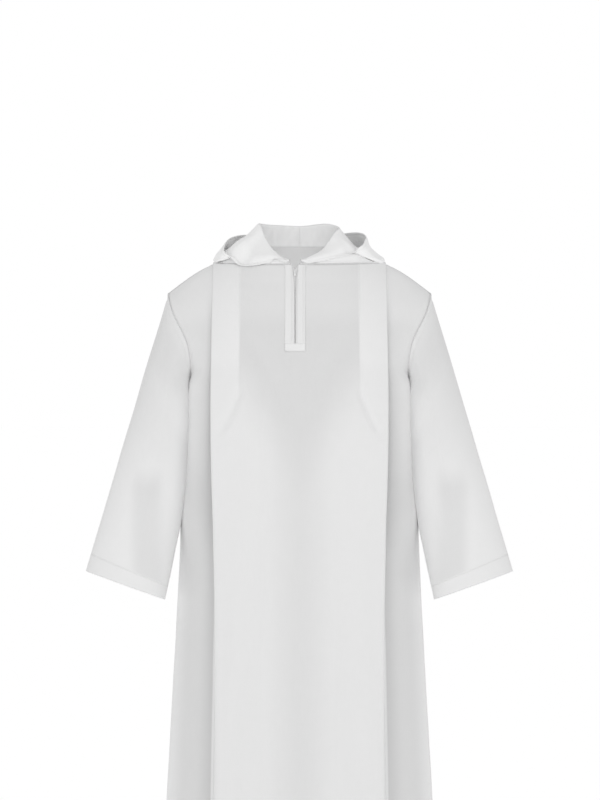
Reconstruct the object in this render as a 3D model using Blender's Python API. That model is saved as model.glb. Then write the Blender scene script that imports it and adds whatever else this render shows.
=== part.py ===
"""Hooded alb: a long white vestment with a quarter zip, pleated front, set-in sleeves and a laid-back hood.

The cloth keeps the hollow form of a garment that is worn. Metres, +Z up, the front faces -Y.
The origin is the middle of the neck base, level with the top of the zip. The wearer's right is -X.
Every cloth piece is a sheet of points on its middle surface, which is then given its wall.
"""

import math

import bmesh
import bpy
import numpy as np
from mathutils import Matrix, Vector

# Cloth
CLOTH = 0.0010  # wall of the body, sleeves and yoke
HOOD_CLOTH = 0.0012  # wall of the hood, whose cloth is heavier with its facing
TRIM_CLOTH = 0.0010  # wall of the folded zip placket
SEAM_GAP = 0.0003  # between two pieces along a seam
HEM_EXTRA = 0.0010  # a turned-up hem adds this much wall on the inside
HEM_DEPTH = 0.035  # height of the turned-up hems
HEM_STEP = 0.003  # stretch of cloth over which the hem's wall thickens

# Body
CENTRE_X = -0.009  # the zip hangs this far off the middle
YOKE_HALF = 0.177  # the yoke's corner on the shoulder, which is the pleat's edge too
YOKE_FRONT = 0.088  # depth of the yoke seam at the centre front and centre back
YOKE_BACK = 0.092
YOKE_FRONT_Z, YOKE_CORNER_Z, YOKE_BACK_Z = -0.005, -0.002, -0.022
YOKE_SQUARE = 3.0  # how square the yoke seam is in plan
YOKE_LIFT = 0.003  # rise of the yoke above a straight line from seam to neck
NECK_HALF, NECK_FRONT, NECK_BACK = 0.093, 0.080, 0.066
NECK_SIDE_Z = 0.031
NECK_SPREAD = 0.05  # opens the neck's front edges into a small V above the zip
TIP = (0.268, 0.0, -0.064)  # shoulder point, where the sleeve head starts
SHOULDER_BOW = 0.22  # how much the shoulder seam rises as it leaves the yoke's corner
UNDERARM_Z = -0.290
HEM_Z = -1.420
SIDE_SEAM_Y = 0.006
CENTRE_FLATNESS = 2.6  # power of the front's curve from the centre to the pleat
BACK_SQUARE = 2.5  # power of the back's superellipse
BACK_EDGE = 0.74  # share of the back's half width at the end of its middle part

# Zip and placket
ZIP_END_Z = -0.168
PLACKET_END_Z = -0.184
PLACKET_HALF = 0.0205
TAPE_HALF = 0.012
TAPE_CLOTH = 0.0008
LAYER_GAP = 0.0003  # between a piece and the panel that it lies on
SLIDER_V = 0.05  # where the zip's slider rests, on the front's rows

# Counts along each sheet
SLEEVE_ROWS = 12
SLEEVE_LENGTH = 0.594  # from the shoulder point to the cuff
HOOD_STEPS = (1, 2, 1, 3, 3, 3, 1, 2, 3)  # along a hood section, between each two of its points
TURN_STEPS = 3  # steps round each fold of a pleat
YOKE_ROWS = 4


def table(names, *rows):
    """A table with named columns, kept as one array for each name."""
    return dict(zip(names.split(), np.array(rows, float).T))


# A row for each height. The pleat turns at pleat_half, by pleat_angle from the outward direction;
# its under layer is under_length long and its third layer ends trough_out beyond the edge.
BODY = table(
    "z half_width front_depth edge_depth pleat_half back_depth fold_radius pleat_angle under_length trough_out",
    (-0.290, 0.2275, 0.132, 0.112, 0.182, 0.120, 0.0026, 176, 0.046, 0.000),
    (-0.350, 0.2265, 0.133, 0.114, 0.182, 0.119, 0.0035, 170, 0.042, 0.000),
    (-0.430, 0.2310, 0.135, 0.116, 0.181, 0.120, 0.0050, 150, 0.034, 0.000),
    (-0.546, 0.2415, 0.138, 0.118, 0.178, 0.123, 0.0070, 125, 0.030, 0.004),
    (-0.760, 0.253, 0.145, 0.123, 0.175, 0.132, 0.0100, 95, 0.026, 0.014),
    (-1.100, 0.272, 0.158, 0.132, 0.177, 0.150, 0.0130, 82, 0.028, 0.022),
    (-1.420, 0.290, 0.172, 0.143, 0.181, 0.170, 0.0160, 75, 0.032, 0.028),
)

# The same pleat above the underarm, where it is pressed flat. v runs from the yoke to the underarm.
PRESSED = table(
    "v fold_radius pleat_angle under_length trough_out",
    (0.00, 0.00095, 180, 0.0535, 0.0),
    (0.35, 0.00120, 180, 0.0530, 0.0),
    (0.70, 0.00180, 179, 0.0500, 0.0),
    (1.00, 0.00260, 176, 0.0460, 0.0),
)

# The armhole seam from the shoulder point (v 0) to the underarm (v 1).
ARMHOLE = table(
    "v x z front_y back_y",
    (0.00, 0.268, -0.064, 0.000, 0.000),
    (0.10, 0.2655, -0.0805, -0.026, 0.024),
    (0.24, 0.2575, -0.1075, -0.050, 0.046),
    (0.38, 0.242, -0.139, -0.067, 0.061),
    (0.52, 0.229, -0.171, -0.075, 0.069),
    (0.68, 0.2235, -0.210, -0.074, 0.069),
    (0.86, 0.2225, -0.258, -0.050, 0.050),
    (1.00, 0.2275, -0.290, 0.003, 0.003),
)

# The sleeve's outline from the front, its depth, and how far forward it hangs.
SLEEVE = table(
    "t outer_x outer_z inner_x inner_z half_depth forward",
    (0.00, 0.2680, -0.064, 0.2275, -0.290, 0.078, 0.000),
    (0.08, 0.2830, -0.117, 0.2312, -0.311, 0.077, 0.016),
    (0.24, 0.3085, -0.200, 0.2285, -0.365, 0.070, 0.052),
    (0.42, 0.3350, -0.292, 0.2320, -0.430, 0.063, 0.058),
    (0.62, 0.3690, -0.405, 0.2405, -0.520, 0.057, 0.056),
    (0.80, 0.4010, -0.514, 0.2560, -0.600, 0.051, 0.052),
    (1.00, 0.4365, -0.633, 0.2755, -0.691, 0.045, 0.048),
)

# Soft folds of the skirt: where round the front or back (0 centre, 1 side seam), depth at the hem
# (minus is a trough), half breadth as a share of the panel, and the height where each one starts.
FRONT_FOLDS = (
    (0.00, -0.008, 0.24, -0.30),
    (0.48, 0.005, 0.20, -0.50),
    (-0.45, 0.006, 0.20, -0.56),
)
BACK_FOLDS = (
    (0.00, -0.014, 0.10, -0.20),
    (0.24, 0.016, 0.12, -0.28),
    (-0.22, 0.014, 0.11, -0.22),
    (0.46, -0.013, 0.11, -0.34),
    (-0.45, -0.015, 0.12, -0.30),
    (0.70, 0.014, 0.11, -0.45),
    (-0.68, 0.012, 0.10, -0.50),
)

# Hood sections by angle round the neck, 0 at the centre front and 180 at the centre back.
# In front the hood turns out into a flap, given by its crest and its edge. Further round it falls to
# a valley, runs out over the shoulder to its outer fold and climbs its outer wall to the rim, which
# is the edge of the face opening.
FLAPS = {
    -1: (
        (0, 0.0815, 0.0030, 0.0850, 0.0008),
        (12, 0.0815, 0.0045, 0.0860, 0.0015),
        (22, 0.0815, 0.0090, 0.0880, 0.0040),
        (33, 0.0810, 0.0185, 0.1010, 0.0030),
        (44, 0.0805, 0.0290, 0.1180, -0.0020),
        (54, 0.0800, 0.0415, 0.1320, -0.0040),
        (63, 0.0800, 0.0530, 0.1430, 0.0000),
        (70, 0.0805, 0.0640, 0.1510, 0.0090),
    ),
    1: (
        (0, 0.0815, 0.0030, 0.0850, 0.0008),
        (12, 0.0815, 0.0045, 0.0875, 0.0012),
        (22, 0.0810, 0.0110, 0.0950, 0.0030),
        (35, 0.0805, 0.0200, 0.1040, 0.0075),
        (44, 0.0800, 0.0310, 0.1110, 0.0125),
        (52, 0.0800, 0.0435, 0.1175, 0.0165),
        (62, 0.0800, 0.0565, 0.1260, 0.0230),
    ),
}
POUCH_COLUMNS = "angle crest_r crest_z fall_r fall_z valley_r valley_z outer_r outer_z wall_r wall_z rim_r rim_z"
BACK_SECTION = (180, 0.072, 0.0740, 0.104, 0.002, 0.131, -0.175, 0.163, -0.095, 0.158, -0.020, 0.140, 0.045)
POUCHES = {
    -1: (
        (78, 0.081, 0.0735, 0.112, 0.0480, 0.1440, 0.0210, 0.1600, 0.0120, 0.1620, 0.0180, 0.1600, 0.0235),
        (84, 0.082, 0.0765, 0.112, 0.0490, 0.1480, 0.0200, 0.1690, 0.0090, 0.1650, 0.0180, 0.1590, 0.0290),
        (91, 0.082, 0.0785, 0.112, 0.0490, 0.1500, 0.0185, 0.1745, 0.0060, 0.1690, 0.0200, 0.1575, 0.0365),
        (99, 0.082, 0.0785, 0.114, 0.0480, 0.1510, 0.0165, 0.1755, 0.0050, 0.1700, 0.0210, 0.1540, 0.0440),
        (107, 0.081, 0.0780, 0.117, 0.0450, 0.1540, 0.0080, 0.1750, 0.0060, 0.1680, 0.0210, 0.1490, 0.0500),
        (118, 0.080, 0.0775, 0.118, 0.0380, 0.1540, -0.0180, 0.1730, -0.0010, 0.1640, 0.0190, 0.1440, 0.0550),
        (131, 0.078, 0.0765, 0.115, 0.0275, 0.1490, -0.0560, 0.1700, -0.0230, 0.1610, 0.0120, 0.1425, 0.0570),
        (145, 0.075, 0.0760, 0.110, 0.0160, 0.1410, -0.1020, 0.1660, -0.0520, 0.1590, 0.0020, 0.1410, 0.0540),
        (160, 0.073, 0.0750, 0.105, 0.0060, 0.1330, -0.1480, 0.1640, -0.0800, 0.1580, -0.0100, 0.1400, 0.0490),
        BACK_SECTION,
    ),
    1: (
        (70, 0.0805, 0.0630, 0.100, 0.0460, 0.1200, 0.0310, 0.1340, 0.0230, 0.1360, 0.0280, 0.1340, 0.0325),
        (77, 0.0805, 0.0655, 0.096, 0.0480, 0.1170, 0.0300, 0.1520, 0.0150, 0.1440, 0.0265, 0.1350, 0.0380),
        (85, 0.0810, 0.0680, 0.095, 0.0490, 0.1150, 0.0300, 0.1690, 0.0085, 0.1460, 0.0265, 0.1340, 0.0440),
        (93, 0.0805, 0.0700, 0.095, 0.0495, 0.1150, 0.0300, 0.1740, 0.0065, 0.1480, 0.0270, 0.1370, 0.0490),
        (103, 0.0800, 0.0725, 0.100, 0.0495, 0.1260, 0.0250, 0.1740, 0.0065, 0.1510, 0.0280, 0.1385, 0.0550),
        (114, 0.0795, 0.0750, 0.108, 0.0460, 0.1420, 0.0020, 0.1730, 0.0010, 0.1560, 0.0250, 0.1395, 0.0600),
        (126, 0.0790, 0.0775, 0.114, 0.0340, 0.1490, -0.0390, 0.1710, -0.0140, 0.1590, 0.0190, 0.1400, 0.0620),
        (138, 0.0780, 0.0790, 0.112, 0.0230, 0.1440, -0.0790, 0.1680, -0.0390, 0.1590, 0.0090, 0.1405, 0.0605),
        (150, 0.0760, 0.0780, 0.108, 0.0140, 0.1390, -0.1180, 0.1650, -0.0610, 0.1590, -0.0010, 0.1400, 0.0555),
        (165, 0.0740, 0.0755, 0.105, 0.0050, 0.1320, -0.1580, 0.1630, -0.0860, 0.1580, -0.0130, 0.1400, 0.0485),
        BACK_SECTION,
    ),
}
FOLD_HALF = 0.0015  # half the space between the two layers at the hood's outer fold

# Rows of the panels: v from the yoke seam (0) to the underarm (1), then heights down to the hem.
ZIP_END_V = (ZIP_END_Z - YOKE_FRONT_Z) / (UNDERARM_Z - YOKE_FRONT_Z)
PLACKET_END_V = (PLACKET_END_Z - YOKE_FRONT_Z) / (UNDERARM_Z - YOKE_FRONT_Z)
UPPER_ROWS = (0.0, 0.04, 0.10, 0.18, 0.30, 0.43, ZIP_END_V, PLACKET_END_V, 0.74, 0.87, 1.0)
LOWER_HEIGHTS = (-0.350, -0.430, -0.530, -0.640, -0.760, -0.900, -1.060, -1.230)
HEM_TOP_Z = HEM_Z + HEM_DEPTH
ROWS = (
    *UPPER_ROWS,
    *(1 + (z - UNDERARM_Z) / (HEM_Z - UNDERARM_Z) for z in LOWER_HEIGHTS),
    *(1 + (z - UNDERARM_Z) / (HEM_Z - UNDERARM_Z) for z in (HEM_TOP_Z + HEM_STEP, HEM_TOP_Z)),
    2.0,
)
SLIT = table(
    "v half_width",
    (0.00, 0.0095),
    (0.04, 0.0052),
    (0.10, 0.0034),
    (0.18, 0.0020),
    (0.30, 0.0014),
    (ZIP_END_V, 0.0012),
)
# Columns of the front's middle part, as shares of the way from the centre to the pleat's edge.
PLEAT_SHARE = 0.69  # where the pleat's visible strip starts
PLACKET_SHARE = PLACKET_HALF / YOKE_HALF
FRONT_SHARES = (PLACKET_SHARE, 0.25, 0.40, 0.55, PLEAT_SHARE)
STRIP_SHARES = (0.77, 0.86, 0.95)
EXTRA_SECTIONS = ((0.25, 0.40), (0.40, 0.55))  # the hood's crest climbs fast here
BACK_SHARES = (0.0, 0.14, 0.28, 0.42, 0.56, 0.70, 0.84, 0.95)
# The columns of the pleat's other two layers, which lie under those of its strip.
UNDER_FRACTIONS = (0.163, 0.455, 0.748)
THIRD_FRACTIONS = (0.248, 0.536, 0.823)
SIDE_STEPS = 5


def track(rows, column, at):
    """A table's column at a place in its first column: a smooth curve that never overshoots a row."""
    keys = next(iter(rows.values()))
    values = rows[column]
    if keys[0] > keys[-1]:
        keys, values = keys[::-1], values[::-1]
    at = min(max(at, keys[0]), keys[-1])
    slopes = np.diff(values) / np.diff(keys)
    inner = [2 * a * b / (a + b) if a * b > 0 else 0.0 for a, b in zip(slopes, slopes[1:])]
    ends = [slopes[0], *inner, slopes[-1]]
    i = min(int(np.searchsorted(keys, at, side="right")) - 1, len(slopes) - 1)
    step = keys[i + 1] - keys[i]
    t = (at - keys[i]) / step
    return float(
        values[i] * (1 + 2 * t) * (1 - t) ** 2
        + values[i + 1] * t * t * (3 - 2 * t)
        + step * (ends[i] * t * (1 - t) ** 2 - ends[i + 1] * t * t * (1 - t))
    )


def smooth(t):
    """0 below 0, 1 above 1, and a soft step between."""
    t = min(max(t, 0.0), 1.0)
    return t * t * (3 - 2 * t)


def hermite(start, start_pull, end, end_pull, t):
    """A point on the curve that leaves start and reaches end in the pulls' directions."""
    return (
        start * ((1 + 2 * t) * (1 - t) ** 2)
        + start_pull * (t * (1 - t) ** 2)
        + end * (t * t * (3 - 2 * t))
        - end_pull * (t * t * (1 - t))
    )


def off_centre(share):
    """How far the cloth beside the zip is shifted, by its share of the way to the pleat."""
    return CENTRE_X * (1 - smooth((share - PLACKET_SHARE) / (PLEAT_SHARE - PLACKET_SHARE)))


def height(v):
    """The height of a row at or below the underarm."""
    return UNDERARM_Z + (v - 1) * (HEM_Z - UNDERARM_Z)


def slit_half(v):
    """Half the width of the front's zip opening, which splays to the neck above the slider."""
    return float(np.interp(v, SLIT["v"], SLIT["half_width"]))


# Seam curves


def yoke_seam(side, share, back=False):
    """The yoke's outer seam, from the centre (share 0) to its corner on the shoulder (share 1)."""
    depth = YOKE_BACK if back else -YOKE_FRONT
    middle_z = YOKE_BACK_Z if back else YOKE_FRONT_Z
    reach = share**YOKE_SQUARE
    x = side * YOKE_HALF * share + (0.0 if back else off_centre(share))
    return Vector((x, depth * (1 - reach), middle_z + (YOKE_CORNER_Z - middle_z) * reach))


def neck_angle(share):
    """The angle round the neck of a front column, spread a little away from the zip."""
    return math.pi / 2 * (share + NECK_SPREAD * (1 - share) ** 6)


def neck_seam(side, share, back=False):
    """The seam between yoke and hood, an oval that dips to the top of the zip."""
    angle = math.pi / 2 * share if back else neck_angle(share)
    across, along = math.sin(angle), math.cos(angle)
    radius = NECK_HALF * across**2 + (NECK_BACK if back else NECK_FRONT) * along**2
    z = NECK_SIDE_Z if back else NECK_SIDE_Z * across**3
    x = side * radius * across + (0.0 if back else CENTRE_X * along**4)
    return Vector((x, radius * along * (1 if back else -1), z))


def armhole(side, v, back=False):
    """The seam between body and sleeve."""
    y = track(ARMHOLE, "back_y" if back else "front_y", v)
    return Vector((side * track(ARMHOLE, "x", v), y, track(ARMHOLE, "z", v)))


def panel_edge(side, v, back=False):
    """The panel's outer edge: the armhole, then the side seam."""
    if v <= 1:
        return armhole(side, v, back)
    z = height(v)
    blend = smooth((v - 1) * 8)
    start = armhole(side, 1.0)
    x = start.x + (side * track(BODY, "half_width", z) - start.x) * blend
    return Vector((x, start.y + (SIDE_SEAM_Y - start.y) * blend, z))


# Front panel


def fold_depth(folds, place, z, side):
    """What the skirt's soft folds add outwards at a place round the panel."""
    total = 0.0
    for where, depth, breadth, start_z in folds:
        grown = smooth((start_z - z) / (start_z - HEM_Z))
        total += depth * grown * math.exp(-(((side * place - where) / breadth) ** 2))
    return total


def front_middle(side, share, v):
    """The front between the centre and the pleat's edge, before it is folded."""
    seam = yoke_seam(side, share)
    z = min(height(v), UNDERARM_Z)
    depth, edge = track(BODY, "front_depth", z), track(BODY, "edge_depth", z)
    x = side * share * track(BODY, "pleat_half", z)
    y = -depth + (depth - edge) * share**CENTRE_FLATNESS
    if v >= 1:
        y -= fold_depth(FRONT_FOLDS, share, z, side)
        return Vector((x + off_centre(share) * (1 - smooth((v - 1) * 2)), y, z))
    # Over the chest each column leaves the seam forwards and turns down.
    forward = share * share
    start_pull = Vector((0, -0.105 - 0.105 * forward, -0.285 + 0.215 * forward))
    end_pull = Vector((0, -0.010, -0.285))
    return hermite(seam, start_pull, Vector((x + off_centre(share), y, z)), end_pull, v)


def front_frame(side, share, v):
    """The unit vectors at a point of the front's middle part: outwards along the cloth, and into it."""
    nearby, lower = 0.02, 0.01
    across = front_middle(side, share, v) - front_middle(side, share - nearby, v)
    below = min(v + lower, 2.0)
    down = front_middle(side, share, below) - front_middle(side, share, below - lower)
    inward = across.cross(down) * side
    return across.normalized(), inward.normalized()


def pleat_value(name, v):
    return track(PRESSED, name, v) if v <= 1 else track(BODY, name, height(v))


def pleat_path(v):
    """The pleat's section as (outwards, inwards) distances from its edge.

    It has a turn, the under layer, a second turn and the third layer.
    """
    radius = pleat_value("fold_radius", v)
    angle = math.radians(pleat_value("pleat_angle", v))
    under = pleat_value("under_length", v)
    out = pleat_value("trough_out", v)
    turns = [angle * i / TURN_STEPS for i in range(TURN_STEPS + 1)]
    first = [(radius * (math.sin(a) - 1), radius * (1 - math.cos(a))) for a in turns]
    x0, y0 = first[-1]
    run, rise = under * math.cos(angle), under * math.sin(angle)
    between = [(x0 + run * f, y0 + rise * f) for f in UNDER_FRACTIONS]
    x1, y1 = x0 + run, y0 + rise
    second = [
        (x1 + radius * (math.sin(angle) - math.sin(a)), y1 + radius * (math.cos(a) - math.cos(angle)))
        for a in reversed(turns)
    ]
    x2, y2 = second[-1]
    return [*first, *between, *second, *((x2 + (out - x2) * f, y2) for f in THIRD_FRACTIONS), (out, y2)]


def pleat_point(side, outwards, inwards, v):
    """A point of the pleat, which follows the panel's curve under it and runs straight beyond its edge."""
    half = abs(front_middle(side, 1.0, v).x)
    share = 1.0 + min(outwards, 0.0) / half
    across, inward = front_frame(side, share, v)
    return front_middle(side, share, v) + across * max(outwards, 0.0) + inward * inwards


def side_part(side, start, start_direction, v, back, t):
    """The cloth between a panel's middle part and its edge."""
    edge = panel_edge(side, v, back)
    turn = math.pi / 2 * min(v, 1.0) ** 1.2
    sideways = -1 if back else 1
    arrive = Vector((side * math.cos(turn), sideways * math.sin(turn), -0.75 * (1 - min(v, 1.0)) ** 2))
    reach = (edge - start).length
    bowed = TIP_DIRECTION[side] + Vector((0, 0, SHOULDER_BOW))
    leave = (bowed * (1 - smooth(v / 0.3)) + start_direction * smooth(v / 0.3)).normalized()
    return hermite(start, leave * reach, edge, arrive.normalized() * reach * 1.15, t)


def strip_shares(v):
    """The columns of the pleat's visible strip, which ends where the fold starts to turn."""
    half = abs(front_middle(1, 1.0, v).x)
    room = 1 - pleat_value("fold_radius", v) / half - PLEAT_SHARE
    return [PLEAT_SHARE + (share - PLEAT_SHARE) * room / (1 - PLEAT_SHARE) for share in STRIP_SHARES]


def front_row(side, v):
    """Half a row of the front, from the zip's slit to the armhole or side seam."""
    half = abs(front_middle(side, 1.0, v).x)
    row = [front_middle(side, slit_half(v) / half, v)]
    row += [front_middle(side, share, v) for share in (*FRONT_SHARES, *strip_shares(v))]
    path = pleat_path(v)
    row += [pleat_point(side, outwards, inwards, v) for outwards, inwards in path]
    across, _ = front_frame(side, 1.0, v)
    start = row[-1]
    row += [side_part(side, start, across, v, False, i / SIDE_STEPS) for i in range(1, SIDE_STEPS + 1)]
    return row


# Back panel


def back_middle(side, share, v):
    """The back between its centre and where it turns to the side."""
    z = min(height(v), UNDERARM_Z)
    x = share * BACK_EDGE
    y = track(BODY, "back_depth", z) * (1 - x**BACK_SQUARE) ** (1 / BACK_SQUARE)
    below = Vector((side * x * track(BODY, "half_width", z), y, z))
    if v >= 1:
        below.y += fold_depth(BACK_FOLDS, share * 0.8, z, side)
        return below
    # Near the corner the shoulder seam runs a pleat's thickness under the yoke.
    corner = front_row_start(side)
    seam = yoke_seam(side, share, True)
    seam += (corner - yoke_seam(side, 1.0)) * smooth((share - 0.8) / 0.2)
    aside = share * share
    start_pull = Vector((0, 0.085 + 0.135 * aside, -0.240 + 0.170 * aside))
    return hermite(seam, start_pull, below, Vector((0, -0.002, -0.270)), v)


def front_row_start(side):
    """Where the shoulder seam starts, under the pleat at the yoke's corner."""
    outwards, inwards = pleat_path(0.0)[-1]
    return pleat_point(side, outwards, inwards, 0.0)


def back_row(side, v):
    """Half a row of the back, from the centre to the armhole or side seam."""
    row = [back_middle(side, share, v) for share in (*BACK_SHARES, 1.0)]
    across = (row[-1] - row[-2]).normalized()
    start = row[-1]
    return row + [side_part(side, start, across, v, True, i / SIDE_STEPS) for i in range(1, SIDE_STEPS + 1)]


TIP_DIRECTION = {
    side: (Vector((side * TIP[0], TIP[1], TIP[2])) - front_row_start(side)).normalized() for side in (-1, 1)
}


# Sleeves


def sleeve_ring(side, t):
    """A ring of the sleeve, from the shoulder point round the front to the underarm and back."""
    ends = [
        [Vector((side * track(SLEEVE, end + "_x", at), 0, track(SLEEVE, end + "_z", at))) for at in (0, t)]
        for end in ("outer", "inner")
    ]
    (tip, outer), (underarm, inner) = ends
    depth, forward = track(SLEEVE, "half_depth", t), Vector((0, -track(SLEEVE, "forward", t), 0))
    seams = [(v, False) for v in UPPER_ROWS] + [(v, True) for v in UPPER_ROWS[-2:0:-1]]
    leave = 1 - smooth(t / 0.30)
    ring = []
    for i, (v, back) in enumerate(seams):
        angle = 2 * math.pi * i / len(seams)
        near_tip = (1 + math.cos(angle)) / 2
        start = armhole(side, v, back) + (inner - underarm).lerp(outer - tip, near_tip)
        oval = inner.lerp(outer, near_tip) - Vector((0, depth * math.sin(angle), 0))
        ring.append(oval.lerp(start, leave) + forward)
    return ring


# Yoke and hood


def yoke_point(side, share, back, w):
    """The yoke from its outer seam (w 0) to the neck (w 1), a little proud of a straight line."""
    seam, neck = yoke_seam(side, share, back), neck_seam(side, share, back)
    width = (neck - seam).length
    lift = YOKE_LIFT * min(1.0, width / 0.05) * 4 * w * (1 - w)
    return seam.lerp(neck, w) + Vector((0, 0, lift))


KNOTS = ("crest", "fall", "valley", "outer", "wall", "rim")


def flap_row(angle, crest_r, crest_z, edge_r, edge_z):
    """A flap's row in the pouch table's columns: the fall puffs up, and the rest runs to the edge."""
    crest, edge = Vector((crest_r, crest_z)), Vector((edge_r, edge_z))
    puff = Vector((0.10, 0.28)) * min((edge - crest).length * 0.5, 0.012)
    falling = (crest, crest.lerp(edge, 0.34) + puff, crest.lerp(edge, 0.66) + puff)
    knots = (*falling, crest.lerp(edge, 0.84) + puff / 3, crest.lerp(edge, 0.92), edge)
    return angle, *(value for knot in knots for value in knot)


HOODS = {
    side: table(POUCH_COLUMNS, *(flap_row(*row) for row in FLAPS[side]), *POUCHES[side]) for side in (-1, 1)
}


def section_knots(side, angle):
    """The hood section's points (distance from the neck's axis, height), after the seam."""
    hood = HOODS[side]
    knots = [Vector((track(hood, name + "_r", angle), track(hood, name + "_z", angle))) for name in KNOTS]
    crest, fall, valley, outer, wall, rim = knots
    arriving, leaving = outer - valley, wall - outer
    half = min(FOLD_HALF, 0.35 * arriving.length, 0.35 * leaving.length)
    turn = (arriving.normalized() + leaving.normalized()).normalized() * half
    return [crest, fall, valley, outer - turn, outer + turn, wall, rim]


def through(knots, steps):
    """Points on a smooth curve through the knots, with a number of steps for each span."""
    padded = [knots[0] * 2 - knots[1], *knots, knots[-1] * 2 - knots[-2]]
    points = []
    for before, a, b, after, count in zip(padded, padded[1:], padded[2:], padded[3:], steps):
        # Short spans keep short pulls, so that the curve has no loops beside a long one.
        start_pull, end_pull = (b - before) / 2, (after - a) / 2
        longest = (b - a).length
        start_pull *= min(1, longest / max(start_pull.length, longest / 2))
        end_pull *= min(1, longest / max(end_pull.length, longest / 2))
        points += [hermite(a, start_pull, b, end_pull, i / count) for i in range(count)]
    return [*points, knots[-1]]


def hood_section(side, share, back, seam):
    """One section of the hood in space: seam, stand, crest, then flap or pouch, to the rim."""
    angle = math.pi - math.pi / 2 * share if back else neck_angle(share)
    shift = 0.0 if back else CENTRE_X * math.cos(angle) ** 4
    crest, *rest = section_knots(side, math.degrees(angle))
    foot = Vector((math.hypot(seam.x - shift, seam.y), seam.z))
    stand = foot.lerp(crest, 0.55) + Vector((-0.0008, 0))
    turn = crest.lerp(rest[0], 0.16) + Vector((0, min((crest - foot).length * 0.06, 0.002)))
    flat = through([foot, stand, crest, turn, *rest], HOOD_STEPS)
    return [Vector((side * p.x * math.sin(angle) + shift, -p.x * math.cos(angle), p.y)) for p in flat]


# Sheets and walls


class Sheet:
    """A cloth piece before it has a wall: points, four-cornered faces, and how to make the wall."""

    def __init__(self, name, rows, thickness, closed=False):
        self.name, self.thickness = name, thickness
        self.columns = len(rows[0])
        self.points = [p.copy() for row in rows for p in row]
        self.faces = []
        around = self.columns if closed else self.columns - 1
        for r in range(len(rows) - 1):
            for c in range(around):
                d = (c + 1) % self.columns
                a, b = r * self.columns, (r + 1) * self.columns
                self.faces.append((a + c, a + d, b + d, b + c))
        self.extra = {}
        self.normals = []

    def index(self, row, column):
        return row * self.columns + column % self.columns

    def flip(self):
        self.faces = [face[::-1] for face in self.faces]
        return self

    def own_normals(self):
        """A unit normal for each point, from the faces round it."""
        sums = [Vector() for _ in self.points]
        for a, b, c, d in self.faces:
            across = (self.points[c] - self.points[a]).cross(self.points[d] - self.points[b])
            for i in (a, b, c, d):
                sums[i] += across
        self.normals = [n.normalized() for n in sums]

    def draw_back(self, pairs):
        """Moves each edge point towards its neighbour, so that two pieces part along their seam."""
        moves = []
        for edge, neighbour in pairs:
            direction = (self.points[neighbour] - self.points[edge]).normalized()
            moves.append((edge, direction * SEAM_GAP / 2))
        for edge, move in moves:
            self.points[edge] += move

    def wall(self):
        """The closed solid: outer and inner skins half the thickness to each side, and a rim between."""
        bm = bmesh.new()
        half = self.thickness / 2
        outer = [bm.verts.new(p + n * half) for p, n in zip(self.points, self.normals)]
        inner = [
            bm.verts.new(p - n * (half + self.extra.get(i, 0.0)))
            for i, (p, n) in enumerate(zip(self.points, self.normals))
        ]
        used = set()
        for a, b, c, d in self.faces:
            for i, j, k in ((a, b, c), (a, c, d)):
                bm.faces.new((outer[i], outer[j], outer[k]))
                bm.faces.new((inner[k], inner[j], inner[i]))
            used.update(((a, b), (b, c), (c, d), (d, a)))
        for a, b in used:
            if (b, a) not in used:
                bm.faces.new((outer[b], outer[a], inner[a], inner[b]))
        loose = [v for v in bm.verts if not v.link_faces]
        bmesh.ops.delete(bm, geom=loose, context="VERTS")
        return bm


def share_normals(sheets, seams):
    """Gives pieces that meet along a seam one normal there. Under the arm the sleeve doubles back on the
    body, so there it keeps its own normal and steps off by a wall."""
    meetings = {}
    for sheet in sheets:
        for i in {edge for edge, _ in seams[sheet.name]}:
            key = tuple(round(x, 6) for x in sheet.points[i])
            meetings.setdefault(key, []).append((sheet, i, sheet.normals[i]))
    for meeting in meetings.values():
        for sheet, i, own in meeting:
            agreeing = [normal for _, _, normal in meeting if normal.dot(own) > 0.2]
            sheet.normals[i] = sum(agreeing, Vector()).normalized()
            if sheet.name.startswith("sleeve") and len(agreeing) < len(meeting):
                sheet.points[i] -= own * (sheet.thickness + SEAM_GAP)


# Objects


def material(name, colour, roughness, metallic=0.0):
    made = bpy.data.materials.new(name)
    made.use_nodes = True
    shader = made.node_tree.nodes["Principled BSDF"]
    shader.inputs["Base Color"].default_value = (*colour, 1.0)
    shader.inputs["Roughness"].default_value = roughness
    shader.inputs["Metallic"].default_value = metallic
    return made


def add_object(name, bm, surface, collection, smooth_angle=None):
    mesh = bpy.data.meshes.new(name)
    bm.to_mesh(mesh)
    bm.free()
    if smooth_angle is not None:
        mesh.shade_smooth()
        mesh.set_sharp_from_angle(angle=math.radians(smooth_angle))
    mesh.materials.append(surface)
    made = bpy.data.objects.new(name, mesh)
    collection.objects.link(made)
    return made


SIDE_NAMES = {-1: "right", 1: "left"}  # the wearer's sides


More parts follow.
